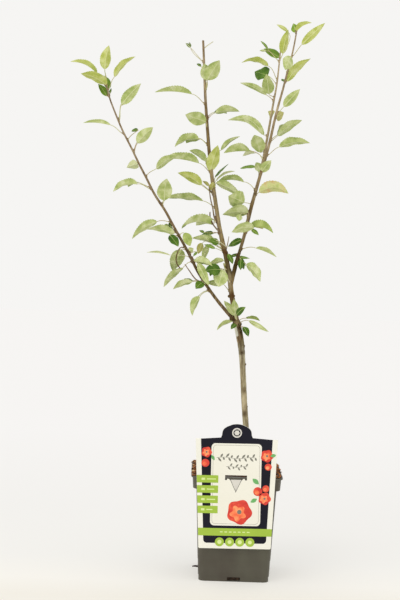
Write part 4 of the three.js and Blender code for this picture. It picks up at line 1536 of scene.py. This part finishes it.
def disc(x, z, radius, steps=40):
    return arc(x, z, radius, 0, 360, steps)[:-1]


def foot_corners(half, low, radius, steps=8):
    """The two rounded corners at the foot of a panel."""
    return (arc(-half + radius, low + radius, radius, 180, 270, steps)
            + arc(half - radius, low + radius, radius, 270, 360, steps))


def mirrored(half, middle):
    """Half an outline, the point in its middle, and its other half."""
    return half + [middle] + [(-x, z) for x, z in half[::-1]]


def bar(x0, x1, z0, z1):
    return [(x0, z0), (x1, z0), (x1, z1), (x0, z1)]


def signed_area(outline):
    x, z = np.asarray(outline, float).T
    return (x * np.roll(z, -1) - z * np.roll(x, -1)).sum() / 2


def slab(outline, low, high, holes=()):
    """A thin solid of an outline with holes, from one level out of the card to another."""
    loops = [list(outline) if signed_area(outline) > 0 else list(outline)[::-1]]
    loops += [list(hole) if signed_area(hole) < 0 else list(hole)[::-1] for hole in holes]
    flat = [point for loop in loops for point in loop]
    count = len(flat)
    triangles = tessellate_polygon([[Vector((x, z, 0)) for x, z in loop] for loop in loops])
    points = [(x, z, low) for x, z in flat] + [(x, z, high) for x, z in flat]
    faces = []
    for a, b, c in triangles:
        if signed_area([flat[a], flat[b], flat[c]]) < 0:
            a, c = c, a
        faces.append((count + a, count + b, count + c))
        faces.append((c, b, a))
    start = 0
    for loop in loops:
        for k in range(len(loop)):
            a, b = start + k, start + (k + 1) % len(loop)
            faces.append((a, b, count + b, count + a))
        start += len(loop)
    return points, faces


def print_piece(name, shapes, ink, level, holes=()):
    """One printed colour: slabs of several outlines on the same level."""
    low = CARD_THICK + level * LAYER
    points, faces = joined([slab(shape, low, low + LAYER, () if k else holes)
                            for k, shape in enumerate(shapes)])
    finish_piece(make_piece(name, (on_card(points), faces), [inks[ink]], sharp_from=30),
                 "card", "card")

# %% The colours of the print
MATT, GLOSSY = 0.12, 0.4  # dark print is nearly matt, so that it stays dark in the light
# Each ink: its gloss and its two tones.
PRINT = {
    "cream": (GLOSSY, (229, 227, 213), (232, 230, 217)),
    "navy": (MATT, (20, 19, 29), (25, 24, 36)),
    "label": (GLOSSY, (228, 225, 209), (232, 229, 215)),
    "lime": (GLOSSY, (151, 180, 52), (159, 188, 60)),
    "pale_lime": (GLOSSY, (205, 222, 140), (214, 228, 156)),
    "ink": (MATT, (16, 16, 20), (22, 22, 26)),
    # grey prints the emblem, and it is also the flap's colour, where it is painted shade
    "grey": (GLOSSY, (206, 202, 192), (214, 210, 200)),
    "pencil": (GLOSSY, (112, 110, 98), (126, 124, 112)),
    "leaf_green": (GLOSSY, (88, 158, 86), (122, 184, 108)),
}
inks = {name: mottled(f"card_{name}", tones, 60, 0.03, 0.5, 0.42, gloss,
                      Coat_Weight=gloss * 0.375, Coat_Roughness=0.25)
        for name, (gloss, *tones) in PRINT.items()}
for name, patch, tones in (("red", 14, [(196, 46, 36), (214, 62, 44), (232, 96, 62)]),
                           ("orange", 10, [(228, 84, 52), (244, 128, 78), (250, 164, 108)])):
    inks[name] = mottled(f"card_{name}", tones, patch, 0.03, 0.5, 0.42, GLOSSY)
print(len(inks), "inks")

# %% The sheet, its slot and its flap
# The right half of the scalloped head, from the card's top edge up to its peak.
HEAD = [(36, CARD_HIGH), (32, CARD_HIGH + 3), (30, CARD_HIGH + 8), (29.5, CARD_HIGH + 13),
        (28.5, CARD_HIGH + 17), (26.5, 315), (24.6, 317), (20.5, 319.6), (16, 321.6),
        (12, 323.2), (8, 324.5), (4, 325.1)]
PEAK, CARD_CORNER = 325.3, 2.5
card_outline = foot_corners(CARD_LOW_HALF, CARD_LOW, CARD_CORNER, 4) + mirrored(
    [(CARD_HIGH_HALF, CARD_HIGH)] + HEAD, (0, PEAK))
half_slot = [(SLOT_HALF, SLOT_HIGH), (SLOT_HALF, SLOT_LOW), (SLOT_HALF - 3.5, SLOT_LOW),
             (SLOT_HALF - 4.5, SLOT_LOW + 3), (SLOT_HALF - 7.5, SLOT_LOW + 2.5),
             (FLAP_HALF + 0.4, SLOT_LOW - 0.5)]
slot_outline = mirrored(half_slot, (0, FLAP_TIP - 0.6))
flap_outline = [(-FLAP_HALF, SLOT_LOW + 1), (0, FLAP_TIP), (FLAP_HALF, SLOT_LOW + 1)]
FLAP_PUSH = 0.10  # how far the flap is pushed in for each mm down

points, faces = slab(card_outline, 0, CARD_THICK, [slot_outline])
sheet = make_piece("card_sheet", (on_card(points), faces), [inks["cream"]], sharp_from=30)
finish_piece(sheet, "card", "card")
points, faces = slab(flap_outline, 0, CARD_THICK)
pushed_in = [(x, z, out - max(0, SLOT_LOW - z) * FLAP_PUSH) for x, z, out in points]
# The flap takes the grey ink instead of the label's cream: painted shade, for the flap pushed in
# behind the card's face.
flap = make_piece("card_flap", (on_card(pushed_in), faces), [inks["grey"]], sharp_from=30)
finish_piece(flap, "card", "card")

# %% [markdown]
# The print goes on from the ground up: the dark panel with the head, the pale label on it, then
# the bands, tabs and discs. Each is drawn from a few measures, and what repeats is a loop.

# %% The panels, bands, tabs and discs
NAVY_LOW, NAVY_LOW_HALF, NAVY_HIGH_HALF = 84.5, 63.2, 71.8
LABEL_LOW, LABEL_HIGH, LABEL_HALF, LABEL_CORNER = 120.0, 286.0, 50.3, 8.0
TAB_TOP, TAB_HIGH, TAB_PITCH, TAB_RIGHT = 221.3, 15.0, 20.6, -35.5
BAND_LOW, BAND_HIGH = 99.4, 114.6
DISC_RADIUS, DISC_PITCH, DISC_HEIGHT = 9.0, 20.4, 86.8
INSET = 0.25  # how far print that bleeds off stays inside the cut edge
NAVY_CORNER, HEAD_SHARE = 7, 0.992
TICK, TICK_HALF = (-69, -62), 2.2
LINE_FROM, LINE_LONG, LINE_HALF = -58, (18, 15, 17, 12), 1.1
RULE, RULE_LOW, RULE_HIGH = (-65, -50), 4.2, 1.6
FRAME_OUT, FRAME_IN = (3.4, 7), (3.9, 6.5)  # the frame line's two edges: inset and corner
MARK_RADIUS, MARK_SIDES = 4.2, (24, 6)
DASHES, DASH_FROM, DASH_PITCH, DASH_LONG, DASH_LEVELS = 7, -30, 9, 5.5, (106.2, 108.2)


def label_outline(inset, radius):
    """The label's outline, set in by a distance."""
    half, high = LABEL_HALF - inset, LABEL_HIGH - inset
    return (foot_corners(half, LABEL_LOW + inset, radius)
            + arc(half - radius, high - radius, radius, 0, 90)
            + arc(-half + radius, high - radius, radius, 90, 180))


panel = foot_corners(NAVY_LOW_HALF, NAVY_LOW, NAVY_CORNER) + mirrored(
    [(NAVY_HIGH_HALF, CARD_HIGH - INSET)]
    + [(x * HEAD_SHARE, z - INSET) for x, z in HEAD[1:]], (0, PEAK - INSET))
print_piece("print_navy", [panel], "navy", 0, [slot_outline])
print_piece("print_label", [label_outline(0, LABEL_CORNER)], "label", 1, [slot_outline])
print_piece("print_frame_line", [label_outline(*FRAME_OUT)], "pencil", 2,
            [label_outline(*FRAME_IN)])

tabs, ticks, rules = [], [], []
for k, long in enumerate(LINE_LONG):
    high = TAB_TOP - k * TAB_PITCH
    low = high - TAB_HIGH
    tabs.append([(-card_half(low) + INSET, low), (TAB_RIGHT, low), (TAB_RIGHT, high),
                 (-card_half(high) + INSET, high)])
    middle = (low + high) / 2
    ticks.append(bar(*TICK, middle - TICK_HALF, middle + TICK_HALF))
    ticks.append(bar(LINE_FROM, LINE_FROM + long, middle - LINE_HALF, middle + LINE_HALF))
    rules.append(bar(*RULE, low - RULE_LOW, low - RULE_HIGH))
band = [(-card_half(BAND_LOW) + INSET, BAND_LOW), (card_half(BAND_LOW) - INSET, BAND_LOW),
        (card_half(BAND_HIGH) - INSET, BAND_HIGH), (-card_half(BAND_HIGH) + INSET, BAND_HIGH)]
discs = [((k - 1.5) * DISC_PITCH, DISC_HEIGHT) for k in range(4)]
print_piece("print_lime", tabs + [band] + [disc(*place, DISC_RADIUS) for place in discs],
            "lime", 3)
marks = [disc(*place, MARK_RADIUS, MARK_SIDES[k % 2]) for k, place in enumerate(discs)]
starts = [DASH_FROM + DASH_PITCH * k for k in range(DASHES)]
marks += [bar(start, start + DASH_LONG, *DASH_LEVELS) for start in starts]
print_piece("print_pale_marks", ticks + marks, "pale_lime", 4)
print_piece("print_rules", rules[:-1], "ink", 3)

# %% [markdown]
# The card is decorated with plain rosettes and berries, and where words would stand there are
# sprigs: wavy stems with small leaves on both sides. All their outlines are formulas.

# %% The emblem, the sprigs, the rosette and the berries
EMBLEM_HIGH, EMBLEM_RADII = 307.5, (9.8, 7.2)
STEM_SWAY, STEM_WAVES, STEM_POINTS, STEM_HALF = 1.3, 9, 24, 0.35
SPRIG_LEAVES, SLENDER = [(1, 48), (0.8, 57), (0.6, 66)], 0.36  # shares of the size, and angles
# How many lobes, how deep, and how far turned: a rosette, and the petals drawn on it.
LOBES, PETALS = (5, 0.07, 0.6), (5, 0.16, 2.2)
# As shares of the radius: how far to the lower left the petals and a berry's shine lie, and how
# large they and a rosette's heart are.
PETALS_OFF, PETALS_SIZE, SHINE_OFF, SHINE_SIZE, HEART_SIZE = 0.1, 0.66, 0.2, 0.5, 0.17


def rosette(x, z, radius, lobes, depth, turn=0.0, steps=90):
    return [(x + radius * (1 - depth + depth * math.cos(lobes * a + turn)) * math.cos(a),
             z + radius * (1 - depth + depth * math.cos(lobes * a + turn)) * math.sin(a))
            for a in np.linspace(0, 2 * math.pi, steps, endpoint=False)]


def leaf_shape(x, z, length, width, degrees, steps=12):
    """A pointed oval that starts at a place and points in a direction."""
    t = np.linspace(0, 1, steps)
    along = np.concatenate([t, t[-2:0:-1]]) * length
    across = np.concatenate([np.sin(np.pi * t), -np.sin(np.pi * t[-2:0:-1])]) * width / 2
    c, s = math.cos(math.radians(degrees)), math.sin(math.radians(degrees))
    return [(x + a * c - b * s, z + a * s + b * c) for a, b in zip(along, across)]


def sprig(x, z, length, leaves_on, size):
    """A wavy stem with leaves on both sides, as separate outlines."""
    def wave(share):
        return x + share * length, z + STEM_SWAY * math.sin(share * STEM_WAVES)
    stem = [wave(share) for share in np.linspace(0, 1, STEM_POINTS)]
    shapes = [[(a, b + STEM_HALF) for a, b in stem] + [(a, b - STEM_HALF) for a, b in stem[::-1]]]
    for k in range(leaves_on):
        share, degrees = SPRIG_LEAVES[k % 3]
        shapes.append(leaf_shape(*wave((k + 0.5) / leaves_on), size * share, size * SLENDER,
                                 degrees if k % 2 else -degrees))
    return shapes


outer, inner = (disc(0, EMBLEM_HIGH, radius, 36) for radius in EMBLEM_RADII)
print_piece("print_emblem", [outer], "grey", 1, [inner])
print_piece("print_emblem_middle", [rosette(0, EMBLEM_HIGH, 5.6, 6, 0.12)], "grey", 1)
print_piece("print_sprigs", sprig(-40, 257, 80, 15, 11) + sprig(-20, 239, 42, 8, 9), "pencil", 2)
# Where the rosettes and berries are, and their radii; and each leaf's place, size and direction.
ROSETTES = [(8, 148, 26), (-60, 268, 11), (61, 262, 13), (58, 176, 13)]
BERRIES = [(-62, 246, 8), (64, 240, 7), (44, 190, 9), (60, 196, 7)]
PRINTED_LEAVES = [(46, 205, 17, 9, 140), (67.5, 262, 12, 7, 10), (30, 168, 15, 8, 30),
                  (-50, 262, 12, 6, 300)]
print_piece("print_rosettes", [rosette(*place, *LOBES) for place in ROSETTES]
            + [disc(*place) for place in BERRIES], "red", 3)
petals = [rosette(x - PETALS_OFF * r, z - PETALS_OFF * r, r * PETALS_SIZE, *PETALS)
          for x, z, r in ROSETTES]
shines = [disc(x - SHINE_OFF * r, z - SHINE_OFF * r, r * SHINE_SIZE) for x, z, r in BERRIES]
print_piece("print_petals", petals + shines, "orange", 4)
print_piece("print_hearts", [disc(x, z, r * HEART_SIZE, 20) for x, z, r in ROSETTES], "pencil", 5)
print_piece("print_leaves", [leaf_shape(*shape) for shape in PRINTED_LEAVES], "leaf_green", 5)

# %% [markdown]
# ## Floor and light
#
# The plant is shown as a nursery would show it: on a pale floor before plain white, in soft even
# light. A world that is nearly white lights it from all round, and one broad lamp from the upper
# left gives the leaves and the pot a lighter and a darker side. Colours are shown untoned, so that
# white stays white.

# %% Stage, world and lamps
BACKDROP = screen(246, 245, 243)
FLOOR_HALF, FLOOR_GLOW = 9000, 1.0
# The floor's colour, from well before the pot, over a warmer strip, to the far end.
FLOOR_NEAR, FLOOR_FAR = -0.6, 1.8  # metres
FLOOR_COLOURS = [(0.0, (179, 178, 176)), (0.165, (178, 175, 168)), (0.215, (181, 179, 174)),
                 (0.29, (178, 177, 174)), (0.5, (177, 176, 174)), (1.0, (179, 178, 177))]


def floor_white():
    """Matt floor that glows a little, as a lit table does, so shadows on it stay faint."""
    material, tree, shader = new_material("floor_white", 0.9, 0.0, Emission_Strength=FLOOR_GLOW)
    place = add_node(tree, "ShaderNodeTexCoord", "Object")
    away = add_node(tree, "ShaderNodeSeparateXYZ", "Y", Vector=place)
    away = add_node(tree, "ShaderNodeMapRange", "Result", Value=away, From_Min=FLOOR_NEAR,
                    From_Max=FLOOR_FAR)
    white = ramp(tree, away, FLOOR_COLOURS)
    feed(tree, shader, Base_Color=white, Emission_Color=white)
    return material


corners = [(x * FLOOR_HALF, y * FLOOR_HALF, 0) for x, y in ((-1, -1), (1, -1), (1, 1), (-1, 1))]
floor = make_piece("floor", (corners, [(0, 1, 2, 3)]), [floor_white()])
floor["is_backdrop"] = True

world = bpy.data.worlds.new("studio")
world.use_nodes = True
feed(world.node_tree, world.node_tree.nodes["Background"], Color=BACKDROP, Strength=1)
bpy.context.scene.world = world
bpy.context.scene.view_settings.view_transform = "Standard"


def soft_sun(name, strength, softness, towards):
    """A far, broad lamp: softness is how wide it looks, in degrees."""
    lamp = add_object(name, bpy.data.lights.new(name, "SUN"))
    lamp.data.energy, lamp.data.angle = strength, math.radians(softness)
    lamp.rotation_euler = Vector(towards).to_track_quat("-Z", "Y").to_euler()


soft_sun("key_light", 0.9, 45, (0.62, 0.8, -0.42))
soft_sun("fill_light", 0.25, 70, (-0.8, 0.5, -0.3))

# %% Write both boxes and finish
visual_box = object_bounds()
for axis, label in enumerate("XYZ"):
    low = (visual_box[0][axis] - cad_box[0][axis]) / MM
    high = (visual_box[1][axis] - cad_box[1][axis]) / MM
    print(f"{label}: the looks end {low:+.1f} and {high:+.1f} mm from the frame's two ends")
